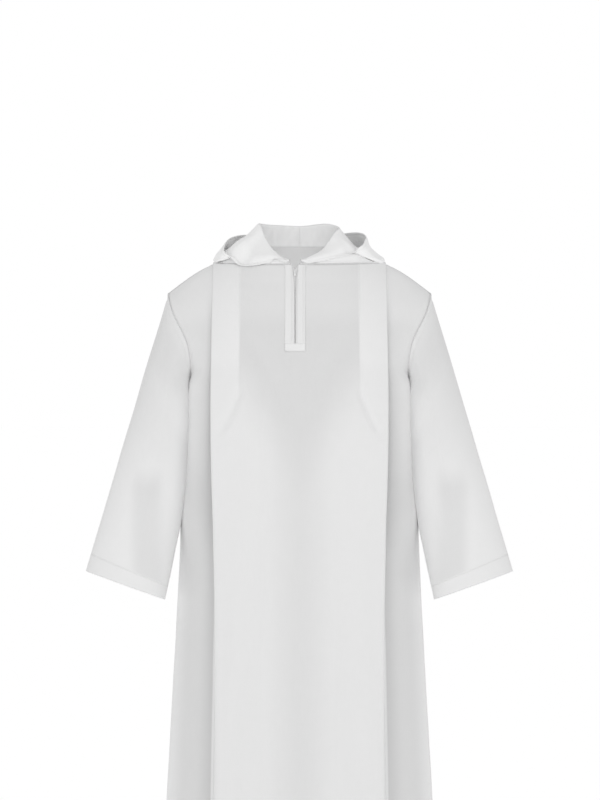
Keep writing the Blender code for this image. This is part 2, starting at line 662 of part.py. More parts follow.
def cloth_sheets():
    """The sewn pieces, with the edges where each meets its neighbours as (edge point, neighbour) pairs."""
    seams = {}

    rows = [[*reversed(front_row(-1, v)), *front_row(1, v)] for v in ROWS]
    front = Sheet("front", rows, CLOTH)
    slit_row = ROWS.index(ZIP_END_V)
    slit_column = front.columns // 2 - 1
    open_faces = {
        tuple(front.index(r + i, slit_column + j) for i, j in ((0, 0), (0, 1), (1, 1), (1, 0)))
        for r in range(slit_row)
    }
    front.faces = [face for face in front.faces if face not in open_faces]
    front.flip()
    rows = [[*reversed(back_row(-1, v)), *back_row(1, v)[1:]] for v in ROWS]
    back = Sheet("back", rows, CLOTH)
    last = len(ROWS) - 1
    for panel in (front, back):
        top = [(panel.index(0, c), panel.index(1, c)) for c in range(panel.columns)]
        sides = [
            (panel.index(r, c), panel.index(r, n))
            for r in range(last + 1)
            for c, n in ((0, 1), (panel.columns - 1, panel.columns - 2))
        ]
        seams[panel.name] = top[1:-1] + sides
        for r in (last - 1, last):
            for c in range(panel.columns):
                panel.extra[panel.index(r, c)] = HEM_EXTRA

    sheets = [front, back]
    for side, hand in SIDE_NAMES.items():
        hem_start = 1 - HEM_DEPTH / SLEEVE_LENGTH
        steps = [i / SLEEVE_ROWS * hem_start for i in range(SLEEVE_ROWS)]
        ts = [*steps, hem_start - HEM_STEP / SLEEVE_LENGTH, hem_start, 1.0]
        sleeve = Sheet("sleeve_" + hand, [sleeve_ring(side, t) for t in ts], CLOTH, closed=True)
        if side < 0:
            sleeve.flip()
        seams[sleeve.name] = [(sleeve.index(0, c), sleeve.index(1, c)) for c in range(sleeve.columns)]
        for r in (len(ts) - 2, len(ts) - 1):
            for c in range(sleeve.columns):
                sleeve.extra[sleeve.index(r, c)] = HEM_EXTRA
        sheets.append(sleeve)

    slit_share = slit_half(0.0) / YOKE_HALF
    front_line = [(slit_share, False)] + [(s, False) for s in (*FRONT_SHARES, *strip_shares(0.0), 1.0)]
    back_line = [(s, True) for s in reversed(BACK_SHARES)]
    half_line = front_line + back_line
    ring = [(-1, *place) for place in half_line] + [(1, *place) for place in reversed(half_line[:-1])]
    rows = [[yoke_point(*place, w / YOKE_ROWS) for place in ring] for w in range(YOKE_ROWS + 1)]
    yoke = Sheet("yoke", rows, CLOTH).flip()
    inner = YOKE_ROWS
    edges = ((0, 1), (inner, inner - 1))
    seams[yoke.name] = [(yoke.index(r, c), yoke.index(n, c)) for c in range(yoke.columns) for r, n in edges]
    sheets.append(yoke)

    for side, hand in SIDE_NAMES.items():
        sections = []
        for (share, behind), (next_share, _) in zip(half_line, (*half_line[1:], (0.0, True))):
            seam, next_seam = neck_seam(side, share, behind), neck_seam(side, next_share, behind)
            sections.append(hood_section(side, share, behind, seam))
            if (share, next_share) in EXTRA_SECTIONS:
                between = (share + next_share) / 2
                sections.append(hood_section(side, between, behind, (seam + next_seam) / 2))
        hood = Sheet("hood_" + hand, [list(row) for row in zip(*sections)], HOOD_CLOTH)
        if side < 0:
            hood.flip()
        centre = hood.columns - 1
        seams[hood.name] = [(hood.index(0, c), hood.index(1, c)) for c in range(centre)]
        rows = range(len(sections[0]))
        seams[hood.name] += [(hood.index(r, centre), hood.index(r, centre - 1)) for r in rows]
        sheets.append(hood)
    return sheets, seams


def placket_sheet(front):
    """The zip's folded placket, from the front's own points round the slit, moved out onto the cloth."""
    last_row = ROWS.index(PLACKET_END_V)
    middle = front.columns // 2
    wanted = range(middle - 2, middle + 2)
    lift = CLOTH / 2 + LAYER_GAP + TRIM_CLOTH / 2
    rows = []
    for r in range(last_row + 1):
        indices = [front.index(r, c) for c in wanted]
        rows.append([front.points[i] + front.normals[i] * lift for i in indices])
    rows[0] = [top + (below - top).normalized() * 0.002 for top, below in zip(rows[0], rows[1])]
    placket = Sheet("placket", rows, TRIM_CLOTH)
    slit = ROWS.index(ZIP_END_V)
    placket.faces = [f for f in placket.faces if not (f[0] % 4 == 1 and f[0] // 4 < slit)]
    placket.flip().own_normals()
    return placket


def tape_sheet(side):
    """One half of the zip's tape, sewn behind the front beside the slit."""
    rows = []
    for v in UPPER_ROWS[: UPPER_ROWS.index(PLACKET_END_V)]:
        v = max(v, 0.02)
        inner = max(0.0004, slit_half(v) - 0.004)
        columns = [front_middle(side, x / YOKE_HALF, v) for x in (inner, 0.006, TAPE_HALF)]
        _, inward = front_frame(side, PLACKET_SHARE, v)
        drop = CLOTH / 2 + LAYER_GAP + TAPE_CLOTH / 2
        rows.append([p + inward * drop for p in columns])
    tape = Sheet("zip_tape_" + SIDE_NAMES[side], rows, TAPE_CLOTH)
    if side > 0:
        tape.flip()
    tape.own_normals()
    return tape


def zip_frame():
    """The hinge of the zip's pull, and the turn about X that lays the slider along the cloth."""
    _, inward = front_frame(1, 0.02, SLIDER_V)
    inward = Vector((0, inward.y, inward.z)).normalized()
    place = front_middle(1, 0.0, SLIDER_V) - inward * (PLATE_THICK + BAR_HEIGHT - CLOTH / 2)
    return place, math.atan2(inward.z, inward.y)


PLATE_HALF, PLATE_LENGTH, PLATE_THICK = 0.0030, 0.0098, 0.0016
BAR_HEIGHT = 0.0012  # from the slider's face to the hinge
BAR_RADIUS = 0.0005
CROWN_HALF, CROWN_LENGTH, CROWN_RISE = 0.0007, 0.0062, 0.0026
PULL_HALF, PULL_LENGTH, PULL_THICK = 0.0024, 0.0125, 0.0009
WINDOW_HALF, WINDOW_LENGTH = 0.0013, 0.0068


def box(size, centre, bevel=0.0):
    bm = bmesh.new()
    bmesh.ops.create_cube(bm, size=1.0)
    bmesh.ops.scale(bm, vec=size, verts=bm.verts)
    bmesh.ops.translate(bm, vec=centre, verts=bm.verts)
    if bevel:
        edges = bm.edges[:]
        bmesh.ops.bevel(bm, geom=edges, offset=bevel, segments=2, profile=0.5, affect="EDGES", material=-1)
    return bm


def combine(target, tool, operation):
    """Joins or cuts the target's mesh with the tool's, then drops the tool."""
    modifier = target.modifiers.new(operation.lower(), "BOOLEAN")
    modifier.object, modifier.operation, modifier.solver = tool, operation, "EXACT"
    bpy.context.view_layer.update()
    evaluated = target.evaluated_get(bpy.context.evaluated_depsgraph_get())
    shaped = bpy.data.meshes.new_from_object(evaluated)
    target.modifiers.clear()
    target.data = shaped
    bpy.data.objects.remove(tool)


def add_slider(surface, collection, place, tilt):
    """The slider's plate with its crown, the arch round the pull's bar. Local -Y is outwards."""
    plate_z = 0.0028 - PLATE_LENGTH / 2
    plate_y = BAR_HEIGHT + PLATE_THICK / 2
    plate = box((2 * PLATE_HALF, PLATE_THICK, PLATE_LENGTH), (0, plate_y, plate_z), 0.0005)
    slider = add_object("zip_slider", plate, surface, collection, 40)
    crown_top = 0.0020
    crown_y = BAR_HEIGHT - CROWN_RISE / 2 + 0.0002
    crown_size = (2 * CROWN_HALF, CROWN_RISE + 0.0004, CROWN_LENGTH)
    crown = box(crown_size, (0, crown_y, crown_top - CROWN_LENGTH / 2), 0.0003)
    combine(slider, add_object("crown", crown, surface, collection), "UNION")
    tunnel_length = CROWN_LENGTH - 0.0018
    tunnel_size = (0.004, 2 * BAR_RADIUS + 0.0007, tunnel_length)
    tunnel = box(tunnel_size, (0, 0, crown_top - 0.0009 - tunnel_length / 2))
    combine(slider, add_object("tunnel", tunnel, surface, collection), "DIFFERENCE")
    slider.location, slider.rotation_euler = place, (tilt, 0, 0)
    return slider


def add_pull(surface, collection, place, tilt):
    """The pull tab: a bar on the hinge, two arms round the crown and a flat tab below."""
    tab = box((2 * PULL_HALF, PULL_THICK, PULL_LENGTH), (0, 0, BAR_RADIUS - PULL_LENGTH / 2), 0.0003)
    pull = add_object("zip_pull", tab, surface, collection, 40)
    window = box((2 * WINDOW_HALF, 0.004, WINDOW_LENGTH), (0, 0, -BAR_RADIUS - WINDOW_LENGTH / 2))
    combine(pull, add_object("window", window, surface, collection), "DIFFERENCE")
    pull.location, pull.rotation_euler = place, (tilt, 0, 0)
    return pull


def main():
    for old in list(bpy.data.objects):
        bpy.data.objects.remove(old)
    alb = bpy.data.collections.new("hooded_alb")
    bpy.context.scene.collection.children.link(alb)
    white_cloth = material("white_cloth", (0.82, 0.82, 0.82), 0.85)
    placket_cloth = material("placket_cloth", (0.86, 0.86, 0.86), 0.80)
    zip_tape = material("zip_tape", (0.80, 0.80, 0.80), 0.75)
    zip_metal = material("zip_metal", (0.78, 0.78, 0.78), 0.35, 0.1)

    sheets, seams = cloth_sheets()
    for sheet in sheets:
        sheet.own_normals()
    share_normals(sheets, seams)
    placket = placket_sheet(sheets[0])
    for sheet in sheets:
        sheet.draw_back(seams[sheet.name])
        add_object(sheet.name, sheet.wall(), white_cloth, alb, 50)
    add_object(placket.name, placket.wall(), placket_cloth, alb, 50)
    for side in (-1, 1):
        tape = tape_sheet(side)
        add_object(tape.name, tape.wall(), zip_tape, alb, 50)
    place, tilt = zip_frame()
    add_slider(zip_metal, alb, place, tilt)
    add_pull(zip_metal, alb, place, tilt)


main()
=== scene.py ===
"""Hooded alb, dressed: the cloth, sewing, zip, light and camera round the fixed frame of the solid part.

Metres, +Z up, the front faces -Y. The origin is the middle of the neck base, level with the top of the zip.
The wearer's right is -X. Every cloth piece is a fine sheet on its solid's form, with its creases listed.
"""

import math

import bmesh
import bpy
import numpy as np
from bpy.props import FloatProperty, FloatVectorProperty, PointerProperty
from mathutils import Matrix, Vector, noise
from mathutils.bvhtree import BVHTree


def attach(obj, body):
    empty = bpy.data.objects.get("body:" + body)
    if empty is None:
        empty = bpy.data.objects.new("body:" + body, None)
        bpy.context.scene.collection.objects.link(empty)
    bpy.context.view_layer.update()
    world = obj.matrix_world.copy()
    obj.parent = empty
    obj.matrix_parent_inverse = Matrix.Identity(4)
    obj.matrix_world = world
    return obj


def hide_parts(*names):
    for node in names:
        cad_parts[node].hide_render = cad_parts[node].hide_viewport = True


bl_info = {
    "name": "Hooded alb",
    "version": (1, 0, 0),
    "blender": (4, 5, 0),
    "location": "View3D > Sidebar > Alb",
    "description": "A hooded white alb with a quarter zip: cloth, sewing, zip and stage",
    "category": "Object",
}

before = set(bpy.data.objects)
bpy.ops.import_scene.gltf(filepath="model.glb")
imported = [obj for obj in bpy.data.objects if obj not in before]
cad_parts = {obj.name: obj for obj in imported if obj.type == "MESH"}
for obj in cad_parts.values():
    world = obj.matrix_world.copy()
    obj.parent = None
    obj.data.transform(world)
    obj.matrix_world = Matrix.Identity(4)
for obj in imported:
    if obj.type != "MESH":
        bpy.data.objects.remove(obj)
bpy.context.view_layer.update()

# Cloth
CLOTH = 0.0010  # wall of the body, sleeves and yoke
HOOD_CLOTH = 0.0012  # wall of the hood, whose cloth is heavier with its facing
TRIM_CLOTH = 0.0010  # wall of the folded zip placket
HEM_EXTRA = 0.0010  # a turned-up hem adds this much wall on the inside
HEM_DEPTH = 0.035  # height of the turned-up hems

# Body
CENTRE_X = -0.009  # the zip hangs this far off the middle
YOKE_HALF = 0.177  # the yoke's corner on the shoulder, which is the pleat's edge too
YOKE_FRONT = 0.088  # depth of the yoke seam at the centre front and centre back
YOKE_BACK = 0.092
YOKE_FRONT_Z, YOKE_CORNER_Z, YOKE_BACK_Z = -0.005, -0.002, -0.022
YOKE_SQUARE = 3.0  # how square the yoke seam is in plan
YOKE_LIFT = 0.003  # rise of the yoke above a straight line from seam to neck
NECK_HALF, NECK_FRONT, NECK_BACK = 0.093, 0.080, 0.066
NECK_SIDE_Z = 0.031
NECK_SPREAD = 0.05  # opens the neck's front edges into a small V above the zip
TIP = (0.268, 0.0, -0.064)  # shoulder point, where the sleeve head starts
SHOULDER_BOW = 0.22  # how much the shoulder seam rises as it leaves the yoke's corner
SLEEVE_LENGTH = 0.594  # from the shoulder point to the cuff
UNDERARM_Z = -0.290
HEM_Z = -1.420
SIDE_SEAM_Y = 0.006
CENTRE_FLATNESS = 2.6  # power of the front's curve from the centre to the pleat
BACK_SQUARE = 2.5  # power of the back's superellipse
BACK_EDGE = 0.74  # share of the back's half width at the end of its middle part

# Zip and placket
ZIP_END_Z = -0.168
PLACKET_END_Z = -0.184
PLACKET_HALF = 0.0205
TAPE_HALF = 0.012
TAPE_CLOTH = 0.0008
LAYER_GAP = 0.0003  # between a piece and the panel that it lies on

# Counts along each sheet
HOOD_STEPS = (2, 4, 2, 5, 5, 5, 2, 4, 5)  # along a hood section, between each two of its points
TURN_STEPS = 6  # steps round each fold of a pleat


def table(names, *rows):
    """A table with named columns, kept as one array for each name."""
    return dict(zip(names.split(), np.array(rows, float).T))


# A row for each height. The pleat turns at pleat_half, by pleat_angle from the outward direction;
# its under layer is under_length long and its third layer ends trough_out beyond the edge.
BODY = table(
    "z half_width front_depth edge_depth pleat_half back_depth fold_radius pleat_angle under_length trough_out",
    (-0.290, 0.2275, 0.132, 0.112, 0.182, 0.120, 0.0026, 176, 0.046, 0.000),
    (-0.350, 0.2265, 0.133, 0.114, 0.182, 0.119, 0.0035, 170, 0.042, 0.000),
    (-0.430, 0.2310, 0.135, 0.116, 0.181, 0.120, 0.0050, 150, 0.034, 0.000),
    (-0.546, 0.2415, 0.138, 0.118, 0.178, 0.123, 0.0070, 125, 0.030, 0.004),
    (-0.760, 0.253, 0.145, 0.123, 0.175, 0.132, 0.0100, 95, 0.026, 0.014),
    (-1.100, 0.272, 0.158, 0.132, 0.177, 0.150, 0.0130, 82, 0.028, 0.022),
    (-1.420, 0.290, 0.172, 0.143, 0.181, 0.170, 0.0160, 75, 0.032, 0.028),
)

# The same pleat above the underarm, where it is pressed flat. v runs from the yoke to the underarm.
PRESSED = table(
    "v fold_radius pleat_angle under_length trough_out",
    (0.00, 0.00095, 180, 0.0535, 0.0),
    (0.35, 0.00120, 180, 0.0530, 0.0),
    (0.70, 0.00180, 179, 0.0500, 0.0),
    (1.00, 0.00260, 176, 0.0460, 0.0),
)

# The armhole seam from the shoulder point (v 0) to the underarm (v 1).
ARMHOLE = table(
    "v x z front_y back_y",
    (0.00, 0.268, -0.064, 0.000, 0.000),
    (0.10, 0.2655, -0.0805, -0.026, 0.024),
    (0.24, 0.2575, -0.1075, -0.050, 0.046),
    (0.38, 0.242, -0.139, -0.067, 0.061),
    (0.52, 0.229, -0.171, -0.075, 0.069),
    (0.68, 0.2235, -0.210, -0.074, 0.069),
    (0.86, 0.2225, -0.258, -0.050, 0.050),
    (1.00, 0.2275, -0.290, 0.003, 0.003),
)

# The sleeve's outline from the front, its depth, and how far forward it hangs.
SLEEVE = table(
    "t outer_x outer_z inner_x inner_z half_depth forward",
    (0.00, 0.2680, -0.064, 0.2275, -0.290, 0.078, 0.000),
    (0.08, 0.2830, -0.117, 0.2312, -0.311, 0.077, 0.016),
    (0.24, 0.3085, -0.200, 0.2285, -0.365, 0.070, 0.052),
    (0.42, 0.3350, -0.292, 0.2320, -0.430, 0.063, 0.058),
    (0.62, 0.3690, -0.405, 0.2405, -0.520, 0.057, 0.056),
    (0.80, 0.4010, -0.514, 0.2560, -0.600, 0.051, 0.052),
    (1.00, 0.4365, -0.633, 0.2755, -0.691, 0.045, 0.048),
)

# Soft folds of the skirt: where round the front or back (0 centre, 1 side seam), depth at the hem
# (minus is a trough), half breadth as a share of the panel, and the height where each one starts.
FRONT_FOLDS = (
    (0.00, -0.008, 0.24, -0.30),
    (0.48, 0.005, 0.20, -0.50),
    (-0.45, 0.006, 0.20, -0.56),
)
BACK_FOLDS = (
    (0.00, -0.014, 0.10, -0.20),
    (0.24, 0.016, 0.12, -0.28),
    (-0.22, 0.014, 0.11, -0.22),
    (0.46, -0.013, 0.11, -0.34),
    (-0.45, -0.015, 0.12, -0.30),
    (0.70, 0.014, 0.11, -0.45),
    (-0.68, 0.012, 0.10, -0.50),
)

# Hood sections by angle round the neck, 0 at the centre front and 180 at the centre back.
# In front the hood turns out into a flap, given by its crest and its edge. Further round it falls to
# a valley, runs out over the shoulder to its outer fold and climbs its outer wall to the rim, which
# is the edge of the face opening.
FLAPS = {
    -1: (
        (0, 0.0815, 0.0030, 0.0850, 0.0008),
        (12, 0.0815, 0.0045, 0.0860, 0.0015),
        (22, 0.0815, 0.0090, 0.0880, 0.0040),
        (33, 0.0810, 0.0185, 0.1010, 0.0030),
        (44, 0.0805, 0.0290, 0.1180, -0.0020),
        (54, 0.0800, 0.0415, 0.1320, -0.0040),
        (63, 0.0800, 0.0530, 0.1430, 0.0000),
        (70, 0.0805, 0.0640, 0.1510, 0.0090),
    ),
    1: (
        (0, 0.0815, 0.0030, 0.0850, 0.0008),
        (12, 0.0815, 0.0045, 0.0875, 0.0012),
        (22, 0.0810, 0.0110, 0.0950, 0.0030),
        (35, 0.0805, 0.0200, 0.1040, 0.0075),
        (44, 0.0800, 0.0310, 0.1110, 0.0125),
        (52, 0.0800, 0.0435, 0.1175, 0.0165),
        (62, 0.0800, 0.0565, 0.1260, 0.0230),
    ),
}
POUCH_COLUMNS = """
    angle crest_r crest_z fall_r fall_z valley_r valley_z outer_r outer_z wall_r wall_z rim_r rim_z
"""
BACK_SECTION = (180, 0.072, 0.0740, 0.104, 0.002, 0.131, -0.175, 0.163, -0.095, 0.158, -0.020, 0.140, 0.045)
POUCHES = {
    -1: (
        (78, 0.081, 0.0735, 0.112, 0.0480, 0.1440, 0.0210, 0.1600, 0.0120, 0.1620, 0.0180, 0.1600, 0.0235),
        (84, 0.082, 0.0765, 0.112, 0.0490, 0.1480, 0.0200, 0.1690, 0.0090, 0.1650, 0.0180, 0.1590, 0.0290),
        (91, 0.082, 0.0785, 0.112, 0.0490, 0.1500, 0.0185, 0.1745, 0.0060, 0.1690, 0.0200, 0.1575, 0.0365),
        (99, 0.082, 0.0785, 0.114, 0.0480, 0.1510, 0.0165, 0.1755, 0.0050, 0.1700, 0.0210, 0.1540, 0.0440),
        (107, 0.081, 0.0780, 0.117, 0.0450, 0.1540, 0.0080, 0.1750, 0.0060, 0.1680, 0.0210, 0.1490, 0.0500),
        (118, 0.080, 0.0775, 0.118, 0.0380, 0.1540, -0.0180, 0.1730, -0.0010, 0.1640, 0.0190, 0.1440, 0.0550),
        (131, 0.078, 0.0765, 0.115, 0.0275, 0.1490, -0.0560, 0.1700, -0.0230, 0.1610, 0.0120, 0.1425, 0.0570),
        (145, 0.075, 0.0760, 0.110, 0.0160, 0.1410, -0.1020, 0.1660, -0.0520, 0.1590, 0.0020, 0.1410, 0.0540),
        (160, 0.073, 0.0750, 0.105, 0.0060, 0.1330, -0.1480, 0.1640, -0.0800, 0.1580, -0.0100, 0.1400, 0.0490),
        BACK_SECTION,
    ),
    1: (
        (70, 0.0805, 0.0630, 0.100, 0.0460, 0.1200, 0.0310, 0.1340, 0.0230, 0.1360, 0.0280, 0.1340, 0.0325),
        (77, 0.0805, 0.0655, 0.096, 0.0480, 0.1170, 0.0300, 0.1520, 0.0150, 0.1440, 0.0265, 0.1350, 0.0380),
        (85, 0.0810, 0.0680, 0.095, 0.0490, 0.1150, 0.0300, 0.1690, 0.0085, 0.1460, 0.0265, 0.1340, 0.0440),
        (93, 0.0805, 0.0700, 0.095, 0.0495, 0.1150, 0.0300, 0.1740, 0.0065, 0.1480, 0.0270, 0.1370, 0.0490),
        (103, 0.0800, 0.0725, 0.100, 0.0495, 0.1260, 0.0250, 0.1740, 0.0065, 0.1510, 0.0280, 0.1385, 0.0550),
        (114, 0.0795, 0.0750, 0.108, 0.0460, 0.1420, 0.0020, 0.1730, 0.0010, 0.1560, 0.0250, 0.1395, 0.0600),
        (126, 0.0790, 0.0775, 0.114, 0.0340, 0.1490, -0.0390, 0.1710, -0.0140, 0.1590, 0.0190, 0.1400, 0.0620),
        (138, 0.0780, 0.0790, 0.112, 0.0230, 0.1440, -0.0790, 0.1680, -0.0390, 0.1590, 0.0090, 0.1405, 0.0605),
        (150, 0.0760, 0.0780, 0.108, 0.0140, 0.1390, -0.1180, 0.1650, -0.0610, 0.1590, -0.0010, 0.1400, 0.0555),
        (165, 0.0740, 0.0755, 0.105, 0.0050, 0.1320, -0.1580, 0.1630, -0.0860, 0.1580, -0.0130, 0.1400, 0.0485),
        BACK_SECTION,
    ),
}
FOLD_HALF = 0.0015  # half the space between the two layers at the hood's outer fold

# Rows of the panels: v runs from the yoke seam (0) to the underarm (1), and on to the hem (2).
ZIP_END_V = (ZIP_END_Z - YOKE_FRONT_Z) / (UNDERARM_Z - YOKE_FRONT_Z)
PLACKET_END_V = (PLACKET_END_Z - YOKE_FRONT_Z) / (UNDERARM_Z - YOKE_FRONT_Z)
# Places on the armhole that are spread evenly round the sleeve.
ROUND_ROWS = (0.0, 0.04, 0.10, 0.18, 0.30, 0.43, ZIP_END_V, PLACKET_END_V, 0.74, 0.87, 1.0)
HEM_TOP_Z = HEM_Z + HEM_DEPTH
SLIT = table(
    "v half_width",
    (0.00, 0.0095),
    (0.04, 0.0052),
    (0.10, 0.0034),
    (0.18, 0.0020),
    (0.30, 0.0014),
    (ZIP_END_V, 0.0012),
)
# Places on the front's middle part, as shares of the way from the centre to the pleat's edge.
PLEAT_SHARE = 0.69  # where the pleat's visible strip starts
PLACKET_SHARE = PLACKET_HALF / YOKE_HALF
# The columns of the pleat's other two layers, which lie under those of its strip.
UNDER_FRACTIONS = (0.163, 0.455, 0.748)
THIRD_FRACTIONS = (0.248, 0.536, 0.823)
SIDE_STEPS = 10  # columns from the pleat, or from the back's middle part, to the panel's edge


def track(rows, column, at):
    """A table's column at a place in its first column: a smooth curve that never overshoots a row."""
    keys = next(iter(rows.values()))
    values = rows[column]
    if keys[0] > keys[-1]:
        keys, values = keys[::-1], values[::-1]
    at = min(max(at, keys[0]), keys[-1])
    slopes = np.diff(values) / np.diff(keys)
    inner = [2 * a * b / (a + b) if a * b > 0 else 0.0 for a, b in zip(slopes, slopes[1:])]
    ends = [slopes[0], *inner, slopes[-1]]
    i = min(int(np.searchsorted(keys, at, side="right")) - 1, len(slopes) - 1)
    step = keys[i + 1] - keys[i]
    t = (at - keys[i]) / step
    return float(
        values[i] * (1 + 2 * t) * (1 - t) ** 2
        + values[i + 1] * t * t * (3 - 2 * t)
        + step * (ends[i] * t * (1 - t) ** 2 - ends[i + 1] * t * t * (1 - t))
    )


def smooth(t):
    """0 below 0, 1 above 1, and a soft step between."""
    t = min(max(t, 0.0), 1.0)
    return t * t * (3 - 2 * t)


def hermite(start, start_pull, end, end_pull, t):
    """A point on the curve that leaves start and reaches end in the pulls' directions."""
    return (
        start * ((1 + 2 * t) * (1 - t) ** 2)
        + start_pull * (t * (1 - t) ** 2)
        + end * (t * t * (3 - 2 * t))
        - end_pull * (t * t * (1 - t))
    )


def off_centre(share):
    """How far the cloth beside the zip is shifted, by its share of the way to the pleat."""
    return CENTRE_X * (1 - smooth((share - PLACKET_SHARE) / (PLEAT_SHARE - PLACKET_SHARE)))


def height(v):
    """The height of a row at or below the underarm."""
    return UNDERARM_Z + (v - 1) * (HEM_Z - UNDERARM_Z)


def slit_half(v):
    """Half the width of the front's zip opening, which splays to the neck above the slider."""
    return float(np.interp(v, SLIT["v"], SLIT["half_width"]))


# Seam curves


def yoke_seam(side, share, back=False):
    """The yoke's outer seam, from the centre (share 0) to its corner on the shoulder (share 1)."""
    depth = YOKE_BACK if back else -YOKE_FRONT
    middle_z = YOKE_BACK_Z if back else YOKE_FRONT_Z
    reach = share**YOKE_SQUARE
    x = side * YOKE_HALF * share + (0.0 if back else off_centre(share))
    return Vector((x, depth * (1 - reach), middle_z + (YOKE_CORNER_Z - middle_z) * reach))


def neck_angle(share):
    """The angle round the neck of a front column, spread a little away from the zip."""
    return math.pi / 2 * (share + NECK_SPREAD * (1 - share) ** 6)


def neck_seam(side, share, back=False):
    """The seam between yoke and hood, an oval that dips to the top of the zip."""
    angle = math.pi / 2 * share if back else neck_angle(share)
    across, along = math.sin(angle), math.cos(angle)
    radius = NECK_HALF * across**2 + (NECK_BACK if back else NECK_FRONT) * along**2
    z = NECK_SIDE_Z if back else NECK_SIDE_Z * across**3
    x = side * radius * across + (0.0 if back else CENTRE_X * along**4)
    return Vector((x, radius * along * (1 if back else -1), z))


def armhole(side, v, back=False):
    """The seam between body and sleeve."""
    y = track(ARMHOLE, "back_y" if back else "front_y", v)
    return Vector((side * track(ARMHOLE, "x", v), y, track(ARMHOLE, "z", v)))


def panel_edge(side, v, back=False):
    """The panel's outer edge: the armhole, then the side seam."""
    if v <= 1:
        return armhole(side, v, back)
    z = height(v)
    blend = smooth((v - 1) * 8)
    start = armhole(side, 1.0)
    x = start.x + (side * track(BODY, "half_width", z) - start.x) * blend
    return Vector((x, start.y + (SIDE_SEAM_Y - start.y) * blend, z))


# Front panel


def fold_depth(folds, place, z, side):
    """What the skirt's soft folds add outwards at a place round the panel."""
    total = 0.0
    for where, depth, breadth, start_z in folds:
        grown = smooth((start_z - z) / (start_z - HEM_Z))
        total += depth * grown * math.exp(-(((side * place - where) / breadth) ** 2))
    return total


def front_middle(side, share, v):
    """The front between the centre and the pleat's edge, before it is folded."""
    seam = yoke_seam(side, share)
    z = min(height(v), UNDERARM_Z)
    depth, edge = track(BODY, "front_depth", z), track(BODY, "edge_depth", z)
    x = side * share * track(BODY, "pleat_half", z)
    y = -depth + (depth - edge) * share**CENTRE_FLATNESS
    if v >= 1:
        y -= fold_depth(FRONT_FOLDS, share, z, side)
        return Vector((x + off_centre(share) * (1 - smooth((v - 1) * 2)), y, z))
    # Over the chest each column leaves the seam forwards and turns down.
    forward = share * share
    start_pull = Vector((0, -0.105 - 0.105 * forward, -0.285 + 0.215 * forward))
    end_pull = Vector((0, -0.010, -0.285))
    return hermite(seam, start_pull, Vector((x + off_centre(share), y, z)), end_pull, v)


def front_frame(side, share, v):
    """The unit vectors at a point of the front's middle part: outwards along the cloth, and into it."""
    nearby, lower = 0.02, 0.01
    across = front_middle(side, share, v) - front_middle(side, share - nearby, v)
    below = min(v + lower, 2.0)
    down = front_middle(side, share, below) - front_middle(side, share, below - lower)
    inward = across.cross(down) * side
    return across.normalized(), inward.normalized()


def pleat_value(name, v):
    return track(PRESSED, name, v) if v <= 1 else track(BODY, name, height(v))


def pleat_path(v):
    """The pleat's section as (outwards, inwards) distances from its edge.

    It has a turn, the under layer, a second turn and the third layer.
    """
    radius = pleat_value("fold_radius", v)
    angle = math.radians(pleat_value("pleat_angle", v))
    under = pleat_value("under_length", v)
    out = pleat_value("trough_out", v)
    turns = [angle * i / TURN_STEPS for i in range(TURN_STEPS + 1)]
    first = [(radius * (math.sin(a) - 1), radius * (1 - math.cos(a))) for a in turns]
    x0, y0 = first[-1]
    run, rise = under * math.cos(angle), under * math.sin(angle)
    between = [(x0 + run * f, y0 + rise * f) for f in UNDER_FRACTIONS]
    x1, y1 = x0 + run, y0 + rise
    second = [
        (x1 + radius * (math.sin(angle) - math.sin(a)), y1 + radius * (math.cos(a) - math.cos(angle)))
        for a in reversed(turns)
    ]
    x2, y2 = second[-1]
    return [*first, *between, *second, *((x2 + (out - x2) * f, y2) for f in THIRD_FRACTIONS), (out, y2)]


def pleat_point(side, outwards, inwards, v):
    """A point of the pleat, which follows the panel's curve under it and runs straight beyond its edge."""
    half = abs(front_middle(side, 1.0, v).x)
    share = 1.0 + min(outwards, 0.0) / half
    across, inward = front_frame(side, share, v)
    return front_middle(side, share, v) + across * max(outwards, 0.0) + inward * inwards


def side_part(side, start, start_direction, v, back, t):
    """The cloth between a panel's middle part and its edge."""
    edge = panel_edge(side, v, back)
    turn = math.pi / 2 * min(v, 1.0) ** 1.2
    sideways = -1 if back else 1
    arrive = Vector((side * math.cos(turn), sideways * math.sin(turn), -0.75 * (1 - min(v, 1.0)) ** 2))
    reach = (edge - start).length
    bowed = TIP_DIRECTION[side] + Vector((0, 0, SHOULDER_BOW))
    leave = (bowed * (1 - smooth(v / 0.3)) + start_direction * smooth(v / 0.3)).normalized()
    return hermite(start, leave * reach, edge, arrive.normalized() * reach * 1.15, t)


# Back panel


def back_middle(side, share, v):
    """The back between its centre and where it turns to the side."""
    z = min(height(v), UNDERARM_Z)
    x = share * BACK_EDGE
    y = track(BODY, "back_depth", z) * (1 - x**BACK_SQUARE) ** (1 / BACK_SQUARE)
    below = Vector((side * x * track(BODY, "half_width", z), y, z))
    if v >= 1:
        below.y += fold_depth(BACK_FOLDS, share * 0.8, z, side)
        return below
    # Near the corner the shoulder seam runs a pleat's thickness under the yoke.
    corner = front_row_start(side)
    seam = yoke_seam(side, share, True)
    seam += (corner - yoke_seam(side, 1.0)) * smooth((share - 0.8) / 0.2)
    aside = share * share
    start_pull = Vector((0, 0.085 + 0.135 * aside, -0.240 + 0.170 * aside))
    return hermite(seam, start_pull, below, Vector((0, -0.002, -0.270)), v)


def front_row_start(side):
    """Where the shoulder seam starts, under the pleat at the yoke's corner."""
    outwards, inwards = pleat_path(0.0)[-1]
    return pleat_point(side, outwards, inwards, 0.0)


TIP_DIRECTION = {
    side: (Vector((side * TIP[0], TIP[1], TIP[2])) - front_row_start(side)).normalized() for side in (-1, 1)
}


# Yoke and hood


